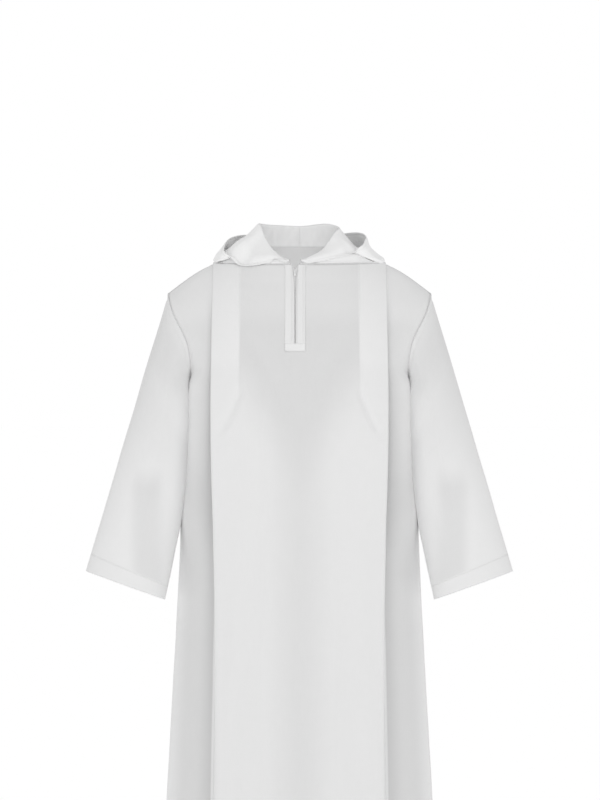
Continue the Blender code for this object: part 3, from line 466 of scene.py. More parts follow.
def yoke_point(side, share, back, w):
    """The yoke from its outer seam (w 0) to the neck (w 1), a little proud of a straight line."""
    seam, neck = yoke_seam(side, share, back), neck_seam(side, share, back)
    width = (neck - seam).length
    lift = YOKE_LIFT * min(1.0, width / 0.05) * 4 * w * (1 - w)
    return seam.lerp(neck, w) + Vector((0, 0, lift))


KNOTS = ("crest", "fall", "valley", "outer", "wall", "rim")


def flap_row(angle, crest_r, crest_z, edge_r, edge_z):
    """A flap's row in the pouch table's columns: the fall puffs up, and the rest runs to the edge."""
    crest, edge = Vector((crest_r, crest_z)), Vector((edge_r, edge_z))
    puff = Vector((0.10, 0.28)) * min((edge - crest).length * 0.5, 0.012)
    falling = (crest, crest.lerp(edge, 0.34) + puff, crest.lerp(edge, 0.66) + puff)
    knots = (*falling, crest.lerp(edge, 0.84) + puff / 3, crest.lerp(edge, 0.92), edge)
    return angle, *(value for knot in knots for value in knot)


HOODS = {
    side: table(POUCH_COLUMNS, *(flap_row(*row) for row in FLAPS[side]), *POUCHES[side]) for side in (-1, 1)
}


def section_knots(side, angle):
    """The hood section's points (distance from the neck's axis, height), after the seam."""
    hood = HOODS[side]
    knots = [Vector((track(hood, name + "_r", angle), track(hood, name + "_z", angle))) for name in KNOTS]
    crest, fall, valley, outer, wall, rim = knots
    arriving, leaving = outer - valley, wall - outer
    half = min(FOLD_HALF, 0.35 * arriving.length, 0.35 * leaving.length)
    turn = (arriving.normalized() + leaving.normalized()).normalized() * half
    return [crest, fall, valley, outer - turn, outer + turn, wall, rim]


def through(knots, steps):
    """Points on a smooth curve through the knots, with a number of steps for each span."""
    padded = [knots[0] * 2 - knots[1], *knots, knots[-1] * 2 - knots[-2]]
    points = []
    for before, a, b, after, count in zip(padded, padded[1:], padded[2:], padded[3:], steps):
        # Short spans keep short pulls, so that the curve has no loops beside a long one.
        start_pull, end_pull = (b - before) / 2, (after - a) / 2
        longest = (b - a).length
        start_pull *= min(1, longest / max(start_pull.length, longest / 2))
        end_pull *= min(1, longest / max(end_pull.length, longest / 2))
        points += [hermite(a, start_pull, b, end_pull, i / count) for i in range(count)]
    return [*points, knots[-1]]


def hood_section(side, share, back, seam):
    """One section of the hood in space: seam, stand, crest, then flap or pouch, to the rim."""
    angle = math.pi - math.pi / 2 * share if back else neck_angle(share)
    shift = 0.0 if back else CENTRE_X * math.cos(angle) ** 4
    crest, *rest = section_knots(side, math.degrees(angle))
    foot = Vector((math.hypot(seam.x - shift, seam.y), seam.z))
    stand = foot.lerp(crest, 0.55) + Vector((-0.0008, 0))
    turn = crest.lerp(rest[0], 0.16) + Vector((0, min((crest - foot).length * 0.06, 0.002)))
    flat = through([foot, stand, crest, turn, *rest], HOOD_STEPS)
    return [Vector((side * p.x * math.sin(angle) + shift, -p.x * math.cos(angle), p.y)) for p in flat]


# Fine sheets

# A panel's rows, closer together than its solid's.
UPPER_FINE = (
    0, 0.02, 0.04, 0.07, 0.10, 0.14, 0.18, 0.24, 0.30, 0.36, 0.43, 0.50,
    ZIP_END_V, PLACKET_END_V, 0.68, 0.74, 0.80, 0.87, 0.94, 1.0,
)
LOWER_FINE = (
    -0.320, -0.350, -0.390, -0.430, -0.480, -0.530, -0.585, -0.640, -0.700,
    -0.760, -0.830, -0.900, -0.980, -1.060, -1.145, -1.230, -1.310, HEM_TOP_Z,
)
PANEL_ROWS = (*UPPER_FINE, *(1 + (z - UNDERARM_Z) / (HEM_Z - UNDERARM_Z) for z in LOWER_FINE), 2.0)
HEM_ROW = len(PANEL_ROWS) - 2
# Its columns: the front's middle part and the strip beside the pleat's edge, and the back's middle part.
FRONT_COLUMNS = (PLACKET_SHARE, 0.18, 0.25, 0.325, 0.40, 0.475, 0.55, 0.62, PLEAT_SHARE)
STRIP_COLUMNS = (0.73, 0.77, 0.82, 0.86, 0.91, 0.95)
BACK_COLUMNS = tuple(np.linspace(0, 0.98, 15))
SEAM_SHARES = (*FRONT_COLUMNS, 0.77, 0.84, 0.90, 0.95)

# Sizes of the mesh's squares
PANEL_STEP = 0.006
FRONT_DOWN_STEP = 0.0082
SLEEVE_STEP = 0.005
NECK_STEP = 0.004  # yoke and hood
TAPE_STEP = 0.003
PLACKET_STEP = 0.0018

STITCH_LIFT = 0.0001  # of the stitches' middle above the cloth
STITCH_GAP = 0.24  # share of a stitch's length that is gap
THREAD_FLATNESS = 0.7

FAR = 0.05  # said of a sewn line that is nowhere near
TINY = 1e-6
HANDS = ((-1, "right"), (1, "left"))


def soft(t):
    """The soft step from 0 to 1 for an array."""
    t = np.clip(t, 0, 1)
    return t * t * (3 - 2 * t)


def fade(values, start, end):
    """0 until start, 1 beyond end and a soft step between. The end may be the lower of the two."""
    return soft((values - start) / (end - start))


def hump(values, middle, breadth, power=2):
    """1 at the middle, dying out soon past the breadth on each side."""
    return np.exp(-(((values - middle) / breadth) ** power))


def unit(vectors):
    """The vectors with a length of 1."""
    return vectors / np.maximum(np.linalg.norm(vectors, axis=-1, keepdims=True), 1e-12)


def lengths_along(points):
    """How far each point of a line, or each row of a grid, lies from the first."""
    steps = np.linalg.norm(np.diff(points, axis=0), axis=-1)
    return np.concatenate([np.zeros((1, *steps.shape[1:])), np.cumsum(steps, axis=0)])


def finer(points, step, closed=False):
    """Rows about one step apart, on smooth curves through the rows given, and where each lies between those."""
    count = len(points)
    if closed:
        points = np.concatenate([points[-2:], points, points[:3]])
    gaps = np.linalg.norm(np.diff(points, axis=0), axis=2)
    usual = np.maximum(gaps.mean(axis=1), 1e-6)[:, None, None]
    slopes = np.diff(points, axis=0) / usual
    inner = (slopes[:-1] * usual[1:] + slopes[1:] * usual[:-1]) / (usual[1:] + usual[:-1])
    pulls = np.concatenate([slopes[:1], inner, slopes[-1:]])
    made, places = [], []
    for i in range(2, count + 2) if closed else range(count - 1):
        cuts = max(1, math.ceil(gaps[i].max() / step))
        share = np.arange(cuts) / cuts
        t = share[:, None, None]
        span = usual[i]
        made.append(
            points[i] * (1 + 2 * t) * (1 - t) ** 2
            + points[i + 1] * t * t * (3 - 2 * t)
            + span * (pulls[i] * t * (1 - t) ** 2 - pulls[i + 1] * t * t * (1 - t))
        )
        places.append(share + (i - 2 if closed else i))
    end = points[2:3] if closed else points[-1:]
    return np.concatenate([*made, end]), np.concatenate([*places, [count if closed else count - 1]])


def new_object(name, mesh, material):
    """A smooth object with one material, in the scene."""
    mesh.shade_smooth()
    mesh.materials.append(material)
    made = bpy.data.objects.new(name, mesh)
    bpy.context.scene.collection.objects.link(made)
    return made


class Cloth:
    """A piece of cloth as a fine grid of points. A ring's last column repeats its first.

    Its masks say how much painted light or shade each point's colour takes, how far off its edge and its
    stitches are, and where its hem doubles the wall.
    """

    def __init__(self, name, rows, step, ring=False, flip=False, down_step=None):
        self.name, self.ring, self.flip = name, ring, flip
        grid = np.array([[tuple(point) for point in row] for row in rows])
        down, self.row_at = finer(grid, down_step or step)
        across, self.column_at = finer(down.transpose(1, 0, 2), step, ring)
        self.points = np.ascontiguousarray(across.transpose(1, 0, 2))
        self.layers = np.ones(self.points.shape[:2])
        self.edge = np.full(self.points.shape[:2], FAR)
        self.stitch = np.full(self.points.shape[:2], FAR)
        self.hem = np.zeros(self.points.shape[:2])
        self.flat = self.weave_map()

    def weave_map(self):
        """Where each point lies on the flat cloth: across along its row, and down by the columns' mean."""
        across = lengths_along(self.points.transpose(1, 0, 2)).T
        across = across - across[:, -1:] / 2
        down = np.linalg.norm(np.diff(self.points, axis=0), axis=2).mean(axis=1)
        down = np.concatenate([[0], np.cumsum(down)])
        return np.stack([across, np.broadcast_to(down[:, None], across.shape)], axis=2)

    def normals(self):
        """The outward direction at each point."""
        p = self.points
        if self.ring:
            wide = np.concatenate([p[:, -2:-1], p, p[:, 1:2]], axis=1)
            across = wide[:, 2:] - wide[:, :-2]
        else:
            across = np.gradient(p, axis=1)
        normal = unit(np.cross(across, np.gradient(p, axis=0)))
        return -normal if self.flip else normal

    def move(self, amount, directions=None):
        """Moves each point by its own amount, outwards unless directions are given."""
        self.points = self.points + (self.normals() if directions is None else directions) * amount[..., None]

    def line(self, rows, columns):
        """The points and normals of some of the grid."""
        return self.points[rows, columns], self.normals()[rows, columns]

    def row(self, at):
        """The fine row of a control row."""
        return int(np.argmin(np.abs(self.row_at - at)))

    def to_ends(self):
        """How far each point lies from the end of its row, on its own side of the garment."""
        ends = self.points[:, [0, -1]]
        own = np.where(self.points[..., 0] < 0, 0, 1)
        return np.linalg.norm(self.points - np.take_along_axis(ends, own[..., None], axis=1), axis=2)

    def turn_hem(self, row, layers):
        """Doubles the wall from a row down, where the colour takes so much painted light."""
        self.hem[row:] = 1
        self.layers[row:] = layers

    def slit(self, end_row, columns):
        """The faces between the middle two of the control columns, down to a control row."""
        middle = columns // 2
        above = self.row_at < end_row - TINY
        between = (self.column_at > middle - 1 - TINY) & (self.column_at < middle - TINY)
        return above[:, None] & between

    def build(self, material, wall, hem_wall=0.0, holes=None):
        """The object: the grid as a mesh with its weave map and masks, then a Solidify for its wall."""
        rows, columns = self.points.shape[:2]
        bm = bmesh.new()
        bmesh.ops.create_grid(bm, x_segments=columns - 1, y_segments=rows - 1, size=0.5)
        mesh = bpy.data.meshes.new(self.name)
        bm.to_mesh(mesh)
        bm.free()
        if len(mesh.vertices) != rows * columns:
            raise RuntimeError(f"{self.name}: the grid has {len(mesh.vertices)} points, not {rows * columns}")
        self.move(np.full((rows, columns), wall / 2))
        mesh.vertices.foreach_set("co", self.points.astype(np.float32).ravel())
        corners = np.empty(len(mesh.loops), np.int32)
        mesh.loops.foreach_get("vertex_index", corners)
        weave = mesh.uv_layers.new(name="weave")
        weave.data.foreach_set("uv", self.flat.reshape(-1, 2)[corners].astype(np.float32).ravel())
        for name in ("layers", "edge", "stitch"):
            mask = mesh.attributes.new(name, "FLOAT", "POINT")
            mask.data.foreach_set("value", getattr(self, name).astype(np.float32).ravel())
        bm = bmesh.new()
        bm.from_mesh(mesh)
        # The wall grows inwards, and is thicker by the hem's where that is turned up.
        weights = bm.verts.layers.deform.verify()
        share = wall / (wall + hem_wall)
        for vertex, hem in zip(bm.verts, self.hem.ravel()):
            vertex[weights][0] = share + (1 - share) * hem
        if holes is not None:
            bm.faces.ensure_lookup_table()
            gone = [bm.faces[i] for i in np.flatnonzero(holes[:-1, :-1].ravel())]
            bmesh.ops.delete(bm, geom=gone, context="FACES")
        if self.ring:
            bmesh.ops.remove_doubles(bm, verts=bm.verts, dist=1e-6)
        if self.flip:
            bmesh.ops.reverse_faces(bm, faces=bm.faces)
        bm.to_mesh(mesh)
        bm.free()
        made = new_object(self.name, mesh, material)
        made.vertex_groups.new(name="wall")
        solid = made.modifiers.new("wall", "SOLIDIFY")
        solid.thickness, solid.offset = wall + hem_wall, -1.0
        solid.vertex_group = "wall"
        solid.use_even_offset = False
        return made


def creased(places, creases):
    """The sum of soft troughs (minus) and ridges (plus) at places (x, z), each along a line of points."""
    total = np.zeros(places.shape[:-1])
    for depth, breadth, *line in creases:
        line = np.array(line)
        starts = lengths_along(line)
        near, along = np.full(total.shape, 1e9), np.zeros(total.shape)
        for a, b, start, end in zip(line, line[1:], starts, starts[1:]):
            way = (b - a) / (end - start)
            t = np.clip((places - a) @ way, 0, end - start)
            gap = np.linalg.norm(places - a - t[..., None] * way, axis=-1)
            along = np.where(gap < near, start + t, along)
            near = np.minimum(gap, near)
        along /= starts[-1]
        total += depth * fade(along, 0, 0.3) * fade(along, 1, 0.7) * hump(near, 0, breadth)
    return total


def ripple(points, size, seed):
    """Gentle unevenness, from -1 to 1, with hollows about one size across."""
    flat = points.reshape(-1, 3) / size
    values = [noise.noise((x + seed, y, z)) for x, y, z in flat]
    return np.array(values).reshape(points.shape[:-1])


def many_of(name, segments, rings, spots, material, roundness=1.0):
    """One object of many small round bodies, squarer where roundness is under 1. A spot is (axes, place)."""
    bm = bmesh.new()
    bmesh.ops.create_uvsphere(bm, u_segments=segments, v_segments=rings, radius=0.5)
    one = bpy.data.meshes.new(name + "_one")
    bm.to_mesh(one)
    bm.free()
    shape = np.array([tuple(v.co) for v in one.vertices])
    shape = np.sign(shape) * np.abs(shape * 2) ** roundness / 2
    many = bmesh.new()
    for _ in spots:
        many.from_mesh(one)
    mesh = bpy.data.meshes.new(name)
    many.to_mesh(mesh)
    many.free()
    bpy.data.meshes.remove(one)
    points = np.concatenate([shape @ axes + place for axes, place in spots])
    mesh.vertices.foreach_set("co", points.astype(np.float32).ravel())
    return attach(new_object(name, mesh, material), "alb")


def between(at, along, values):
    """The value, a point or a direction, at a distance along a line."""
    return np.array([np.interp(at, along, values[:, k]) for k in range(3)])


def sew(name, lines):
    """One piece of sewing: small threads that lie on the cloth along lines of (points, normals)."""
    settings = bpy.context.scene.alb_sewing
    spots = []
    for points, normals in lines:
        points = points + normals * STITCH_LIFT
        along = lengths_along(points)
        for i in range(int(along[-1] // settings.pitch)):
            start = (i + STITCH_GAP / 2) * settings.pitch
            ends = (start, start + (1 - STITCH_GAP) * settings.pitch)
            a, b = (Vector(between(at, along, points)) for at in ends)
            way = (b - a).normalized()
            aside = Vector(between(start, along, normals)).cross(way).normalized()
            out = way.cross(aside)
            axes = [aside * settings.thread, out * settings.thread * THREAD_FLATNESS, way * (b - a).length]
            spots.append((np.array(axes), np.array((a + b) / 2)))
    sewing = many_of(name, 6, 4, spots, thread())
    return sewing


# Materials

FULL_PAINTED_LIGHT = 3.6  # painted light at which the cloth shows its full colour; less is painted shade
EDGE_NIP, STITCH_NIP = 0.0022, 0.0013  # half breadth of the nip along an edge and along a row of stitches
PUCKER_REACH = 0.006  # from a sewn line


def node_group(name, inputs, outputs):
    """A new shader node group. Inputs and outputs are (name, socket kind, default)."""
    tree = bpy.data.node_groups.new(name, "ShaderNodeTree")
    for kind, sockets in (("INPUT", inputs), ("OUTPUT", outputs)):
        for label, socket, *default in sockets:
            made = tree.interface.new_socket(label, in_out=kind, socket_type="NodeSocket" + socket)
            if default:
                made.default_value = default[0]
    return tree, tree.nodes.new("NodeGroupInput"), tree.nodes.new("NodeGroupOutput")


def put(tree, kind, *values, **settings):
    """A node with its settings and inputs. A value is a socket to link, or a constant."""
    node = tree.nodes.new("ShaderNode" + kind)
    for name, value in settings.items():
        setattr(node, name, value)
    for socket, value in zip(node.inputs, values):
        fill(tree, socket, value)
    return node


def fill(tree, socket, value):
    """Links a socket to an input, or gives it a constant."""
    if isinstance(value, bpy.types.NodeSocket):
        tree.links.new(value, socket)
    else:
        socket.default_value = value


def math_node(tree, operation, *values):
    """What a Math node gives."""
    return put(tree, "Math", *values, operation=operation).outputs[0]


def times(tree, a, b):
    """The product of two vectors or colours."""
    return put(tree, "VectorMath", a, b, operation="MULTIPLY").outputs[0]


def noise_node(tree, place, scale, detail, dimensions="2D"):
    """Cloudy noise over a map, from 0 to 1."""
    node = put(tree, "TexNoise", noise_dimensions=dimensions)
    for name, value in (("Vector", place), ("Scale", scale), ("Detail", detail)):
        fill(tree, node.inputs[name], value)
    return node.outputs["Fac"]


def new_material(name):
    """A new material, its node tree and its shader."""
    made = bpy.data.materials.new(name)
    made.use_nodes = True
    return made, made.node_tree, made.node_tree.nodes["Principled BSDF"]


def rough_and_bumped(tree, shader, mask, rough, height):
    """Gives a shader roughness between two values, by a mask, and relief in metres."""
    tree.links.new(put(tree, "MapRange", mask, 0.3, 0.7, *rough).outputs[0], shader.inputs["Roughness"])
    bump = put(tree, "Bump")
    for name, value in (("Strength", 1.0), ("Distance", 1.0), ("Height", height)):
        fill(tree, bump.inputs[name], value)
    tree.links.new(bump.outputs[0], shader.inputs["Normal"])


def weave_group():
    """Plain weave: two sets of threads that pass over and under each other, as a height from 0 to 1."""
    tree, given, result = node_group(
        "plain_weave",
        [("Map", "Vector"), ("Threads per metre", "Float", 2000.0)],
        [("Height", "Float")],
    )
    parts = put(tree, "SeparateXYZ", given.outputs["Map"]).outputs
    waves = []
    for part in parts[:2]:
        turns = math_node(tree, "MULTIPLY", part, given.outputs["Threads per metre"])
        waves.append(math_node(tree, "MULTIPLY", turns, math.pi))
    across, down = (math_node(tree, "SINE", wave) for wave in waves)
    crossing = math_node(tree, "MULTIPLY", across, down)
    threads = math_node(tree, "ADD", math_node(tree, "ABSOLUTE", across), math_node(tree, "ABSOLUTE", down))
    height = math_node(tree, "MULTIPLY_ADD", crossing, 0.25, 0.25)
    height = math_node(tree, "MULTIPLY_ADD", threads, 0.25, height)
    tree.links.new(height, result.inputs["Height"])
    return tree


def thread_group():
    """Thicker and thinner threads both ways, from 0 to 1, and the soft cloudiness of washed cloth."""
    tree, given, result = node_group(
        "uneven_threads",
        [("Map", "Vector"), ("Threads per metre", "Float", 2000.0)],
        [("Threads", "Float"), ("Cloud", "Float")],
    )
    streaks = []
    for stretch in ((0.30, 0.012, 1.0), (0.012, 0.30, 1.0)):
        size = times(tree, given.outputs["Threads per metre"], stretch)
        streaks.append(noise_node(tree, times(tree, given.outputs["Map"], size), 1.0, 1.0))
    both = math_node(tree, "MULTIPLY_ADD", streaks[0], 0.6, math_node(tree, "MULTIPLY", streaks[1], 0.4))
    tree.links.new(both, result.inputs["Threads"])
    tree.links.new(noise_node(tree, given.outputs["Map"], 38.0, 3.0), result.inputs["Cloud"])
    return tree


def seam_group():
    """The nip of cloth along an edge and a row of stitches: a height in metres, and a mask from 0 to 1 for the
    painted shade in its groove.
    """
    tree, given, result = node_group(
        "sewn_line",
        [("Map", "Vector"), ("Edge", "Float", FAR), ("Stitch", "Float", FAR), ("Depth", "Float", 0.0004)],
        [("Height", "Float"), ("Mask", "Float")],
    )
    masks = []
    for name, breadth in (("Edge", EDGE_NIP), ("Stitch", STITCH_NIP)):
        share = math_node(tree, "DIVIDE", given.outputs[name], breadth)
        power = math_node(tree, "MULTIPLY", math_node(tree, "MULTIPLY", share, share), -1.0)
        masks.append(math_node(tree, "EXPONENT", power))
    line = math_node(tree, "MAXIMUM", *masks)
    reach = []
    for name in ("Edge", "Stitch"):
        far = math_node(tree, "DIVIDE", math_node(tree, "ABSOLUTE", given.outputs[name]), -PUCKER_REACH)
        reach.append(math_node(tree, "EXPONENT", far))
    near = math_node(tree, "MAXIMUM", *reach)
    pucker = noise_node(tree, given.outputs["Map"], 160.0, 1.0)
    bumps = math_node(tree, "MULTIPLY", math_node(tree, "SUBTRACT", pucker, 0.5), near)
    height = math_node(tree, "MULTIPLY_ADD", line, -1.0, bumps)
    tree.links.new(math_node(tree, "MULTIPLY", height, given.outputs["Depth"]), result.inputs["Height"])
    tree.links.new(line, result.inputs["Mask"])
    return tree


def painted_light_group():
    """Painted light and shade: from the shaded colour, at no painted light, to the full colour."""
    tree, given, result = node_group(
        "painted_cloth_light",
        [("Single", "Color"), ("Full", "Color"), ("Layers", "Float", 1.0)],
        [("Color", "Color")],
    )
    share = put(tree, "MapRange", given.outputs["Layers"], 0.0, FULL_PAINTED_LIGHT, 0.0, 1.0).outputs[0]
    mixed = put(tree, "Mix", data_type="RGBA", blend_type="MIX")
    tree.links.new(share, mixed.inputs[0])
    tree.links.new(given.outputs["Single"], mixed.inputs[6])
    tree.links.new(given.outputs["Full"], mixed.inputs[7])
    tree.links.new(mixed.outputs[2], result.inputs["Color"])
    return tree


def use_group(tree, name, make, **values):
    """A shared effect in a material, made when it is first used, with its inputs by name."""
    node = tree.nodes.new("ShaderNodeGroup")
    node.node_tree = bpy.data.node_groups.get(name) or make()
    for label, value in values.items():
        fill(tree, node.inputs[label.replace("_", " ")], value)
    return node.outputs


def cloth_material(name, full, single, roughness, threads, relief, sheen):
    """Woven cloth: painted light and shade, weave, uneven threads, sewn lines and a little wear-softened shine.
    """
    made, tree, shader = new_material(name)
    place = tree.nodes.new("ShaderNodeUVMap")
    place.uv_map = "weave"
    woven = {"Map": place.outputs[0], "Threads_per_metre": threads}
    layers, edge, stitch = (
        put(tree, "Attribute", attribute_name=mask).outputs["Fac"] for mask in ("layers", "edge", "stitch")
    )
    colour = use_group(tree, "painted_cloth_light", painted_light_group, Single=(*single, 1), Full=(*full, 1), Layers=layers)
    weave = use_group(tree, "plain_weave", weave_group, **woven)
    uneven = use_group(tree, "uneven_threads", thread_group, **woven)
    sewn = use_group(tree, "sewn_line", seam_group, Map=place.outputs[0], Edge=edge, Stitch=stitch)
    # Each effect lightens or darkens the colour a little, about its own middle.
    tone = math_node(tree, "MULTIPLY_ADD", uneven["Threads"], 0.030, 0.985)
    tone = math_node(tree, "MULTIPLY_ADD", uneven["Cloud"], 0.012, math_node(tree, "SUBTRACT", tone, 0.006))
    # The weave's low places are painted a little darker, as shade between the threads.
    tone = math_node(tree, "MULTIPLY_ADD", weave["Height"], 0.02, math_node(tree, "SUBTRACT", tone, 0.01))
    # The nip along edges and rows of stitches is painted darker, as shade in the groove.
    tone = math_node(tree, "MULTIPLY_ADD", sewn["Mask"], -0.05, tone)
    tree.links.new(times(tree, colour[0], tone), shader.inputs["Base Color"])
    height = math_node(tree, "MULTIPLY_ADD", weave["Height"], relief, sewn["Height"])
    height = math_node(tree, "MULTIPLY_ADD", uneven["Threads"], relief * 1.5, height)
    height = math_node(tree, "MULTIPLY_ADD", uneven["Cloud"], 0.0004, height)
    rough_and_bumped(tree, shader, uneven["Threads"], (roughness - 0.05, roughness + 0.05), height)
    for label, value in (("Sheen Weight", sheen), ("Sheen Roughness", 0.5), ("Specular IOR Level", 0.25)):
        shader.inputs[label].default_value = value
    return made


def plastic_material(name, colour, roughness, relief, scale):
    """Moulded or enamelled trim, a little uneven and rubbed duller in places."""
    made, tree, shader = new_material(name)
    spots = noise_node(tree, tree.nodes.new("ShaderNodeTexCoord").outputs["Object"], scale, 3.0, "3D")
    tone = math_node(tree, "MULTIPLY_ADD", spots, 0.10, 0.95)
    tree.links.new(times(tree, (*colour,), tone), shader.inputs["Base Color"])
    height = math_node(tree, "MULTIPLY", spots, relief)
    rough_and_bumped(tree, shader, spots, (roughness - 0.08, roughness + 0.10), height)
    return made


def finish(name, make, **values):
    """A material of the garment, made when it is first asked for."""
    return bpy.data.materials.get(name) or make(name, **values)


def garment_cloth(name, fineness=1.0, **values):
    """Cloth in the garment's own colours, with so many times its threads."""
    cloth = bpy.context.scene.alb_cloth
    colours = {"full": cloth.full_colour, "single": cloth.single_colour}
    return finish(name, cloth_material, threads=cloth.threads * fineness, sheen=0.06, **colours, **values)


def white_cloth():
    """The cloth of body, sleeves, yoke and hood."""
    return garment_cloth("alb_white_cloth", roughness=0.85, relief=0.00006)


def placket_cloth():
    """The placket's cloth, smoother and a little finer."""
    return garment_cloth("alb_placket_cloth", fineness=1.1, roughness=0.80, relief=0.00005)


def tape_cloth():
    """The zip's coarser woven tape."""
    tone = bpy.context.scene.alb_zip.tape_colour
    woven = {"roughness": 0.75, "threads": 1500, "relief": 0.00012, "sheen": 0.03}
    return finish("alb_zip_tape", cloth_material, full=tone, single=tone, **woven)


def enamel():
    """The enamelled metal of slider and pull."""
    tone = bpy.context.scene.alb_zip.slider_colour
    return finish("zip_enamel", plastic_material, colour=tone, roughness=0.32, relief=0.00002, scale=900)


def nylon():
    """The nylon of the teeth, painted grey as shade."""
    tone = bpy.context.scene.alb_zip.teeth_shade_colour
    return finish("zip_nylon", plastic_material, colour=tone, roughness=0.45, relief=0.00001, scale=1500)


def thread():
    """The thread of all stitches."""
    tone = bpy.context.scene.alb_sewing.colour
    return finish("sewing_thread", plastic_material, colour=tone, roughness=0.7, relief=0.00004, scale=2500)


# Creases: depth (plus is a ridge), breadth, then the line's points as seen from the front (x, z).

FRONT_CREASES = (
    # the chest hangs in a broad V below the zip
    (-0.0026, 0.016, (-0.116, -0.135), (-0.080, -0.190), (-0.048, -0.250), (-0.020, -0.345)),
    (-0.0024, 0.015, (0.114, -0.118), (0.088, -0.170), (0.056, -0.222), (0.018, -0.350)),
    (0.0016, 0.013, (-0.112, -0.175), (-0.090, -0.255), (-0.060, -0.350)),
    (0.0015, 0.014, (0.112, -0.180), (0.098, -0.262), (0.070, -0.372)),
    # the slanting ends of the two pressed pleats
    (-0.0036, 0.006, (-0.116, -0.242), (-0.124, -0.276), (-0.142, -0.318), (-0.162, -0.352), (-0.172, -0.364)),
    (-0.0037, 0.006, (0.118, -0.240), (0.126, -0.276), (0.144, -0.320), (0.164, -0.354), (0.176, -0.368)),
    (0.0014, 0.009, (-0.118, -0.185), (-0.116, -0.240), (-0.110, -0.295)),
    (0.0013, 0.009, (0.120, -0.190), (0.117, -0.245), (0.112, -0.290)),
    # small ones beside the strips and above the placket's end
    (-0.0007, 0.005, (-0.112, -0.062), (-0.098, -0.078), (-0.080, -0.082)),
    (-0.0006, 0.005, (0.112, -0.055), (0.100, -0.074), (0.086, -0.080)),
    (-0.0008, 0.006, (-0.034, -0.150), (-0.028, -0.205), (-0.024, -0.262)),
    (-0.0007, 0.006, (0.020, -0.175), (0.024, -0.235), (0.022, -0.300)),
    # long soft ones down the skirt
    (-0.0022, 0.024, (-0.006, -0.360), (0.004, -0.560), (-0.002, -0.780), (0.004, -1.120)),
    (0.0016, 0.018, (-0.064, -0.420), (-0.060, -0.600), (-0.066, -0.900)),
    (0.0015, 0.017, (0.056, -0.440), (0.052, -0.640), (0.060, -0.980)),
    (-0.0012, 0.014, (-0.092, -0.480), (-0.094, -0.680), (-0.104, -0.940)),
    (-0.0013, 0.015, (0.094, -0.460), (0.092, -0.690), (0.100, -1.040)),
    (0.0016, 0.016, (-0.132, -0.440), (-0.134, -0.700), (-0.142, -1.050)),
    (0.0015, 0.017, (0.136, -0.450), (0.138, -0.730), (0.146, -1.100)),
    (-0.0018, 0.015, (-0.030, -0.860), (-0.036, -1.120), (-0.032, -1.380)),
    (0.0020, 0.018, (0.026, -0.820), (0.030, -1.080), (0.034, -1.390)),
    (-0.0016, 0.016, (0.118, -0.900), (0.124, -1.150), (0.128, -1.390)),
    (0.0018, 0.017, (-0.108, -0.880), (-0.118, -1.130), (-0.122, -1.390)),
)
BACK_CREASES = (
    (-0.0024, 0.020, (0.004, -0.060), (-0.004, -0.200), (0.002, -0.420), (-0.003, -0.700)),
    (0.0020, 0.018, (-0.058, -0.090), (-0.062, -0.260), (-0.070, -0.520)),
    (0.0018, 0.017, (0.060, -0.070), (0.066, -0.240), (0.070, -0.480)),
    (-0.0016, 0.015, (-0.102, -0.110), (-0.108, -0.300), (-0.118, -0.560)),
    (-0.0018, 0.016, (0.104, -0.130), (0.112, -0.330), (0.120, -0.600)),
    (-0.0016, 0.010, (-0.150, -0.130), (-0.120, -0.190), (-0.070, -0.230)),
    (-0.0015, 0.011, (0.150, -0.140), (0.116, -0.205), (0.064, -0.240)),
    (0.0014, 0.014, (-0.148, -0.300), (-0.152, -0.520), (-0.160, -0.820)),
    (0.0013, 0.014, (0.146, -0.320), (0.154, -0.560), (0.160, -0.860)),
    (-0.0016, 0.016, (-0.036, -0.780), (-0.040, -1.050), (-0.036, -1.380)),
    (0.0018, 0.017, (0.040, -0.760), (0.044, -1.020), (0.050, -1.390)),
    (-0.0014, 0.015, (0.170, -0.700), (0.178, -1.000), (0.184, -1.360)),
    (-0.0014, 0.015, (-0.172, -0.740), (-0.180, -1.040), (-0.186, -1.370)),
)
# The same for a sleeve, x counted outwards, on its front and on its back.
SLEEVE_CREASES = {
    (-1, True): (
        (-0.0030, 0.015, (0.302, -0.400), (0.310, -0.500), (0.318, -0.625)),
        (0.0014, 0.010, (0.276, -0.395), (0.284, -0.500), (0.290, -0.600)),
        (0.0013, 0.013, (0.338, -0.380), (0.356, -0.480), (0.376, -0.600)),
        (-0.0014, 0.008, (0.263, -0.105), (0.272, -0.160), (0.290, -0.235)),
        (0.0010, 0.009, (0.250, -0.140), (0.262, -0.220), (0.278, -0.300)),
        (-0.0010, 0.010, (0.246, -0.260), (0.262, -0.330), (0.272, -0.410)),
    ),
    (1, True): (
        (-0.0030, 0.016, (0.300, -0.390), (0.312, -0.505), (0.322, -0.630)),
        (0.0014, 0.010, (0.274, -0.405), (0.281, -0.510), (0.290, -0.595)),
        (0.0012, 0.013, (0.340, -0.370), (0.360, -0.490), (0.380, -0.595)),
        (-0.0013, 0.008, (0.263, -0.110), (0.274, -0.170), (0.294, -0.250)),
        (0.0010, 0.009, (0.248, -0.150), (0.260, -0.225), (0.280, -0.310)),
        (-0.0010, 0.010, (0.244, -0.270), (0.260, -0.345), (0.274, -0.425)),
    ),
    (-1, False): (
        (-0.0024, 0.015, (0.296, -0.330), (0.312, -0.460), (0.326, -0.620)),
        (0.0016, 0.012, (0.262, -0.300), (0.280, -0.430), (0.296, -0.580)),
        (-0.0014, 0.010, (0.256, -0.120), (0.276, -0.200), (0.300, -0.290)),
    ),
    (1, False): (
        (-0.0023, 0.016, (0.300, -0.300), (0.314, -0.440), (0.330, -0.610)),
        (0.0016, 0.012, (0.266, -0.320), (0.284, -0.450), (0.300, -0.600)),
        (-0.0014, 0.010, (0.258, -0.130), (0.278, -0.215), (0.302, -0.310)),
    ),
}


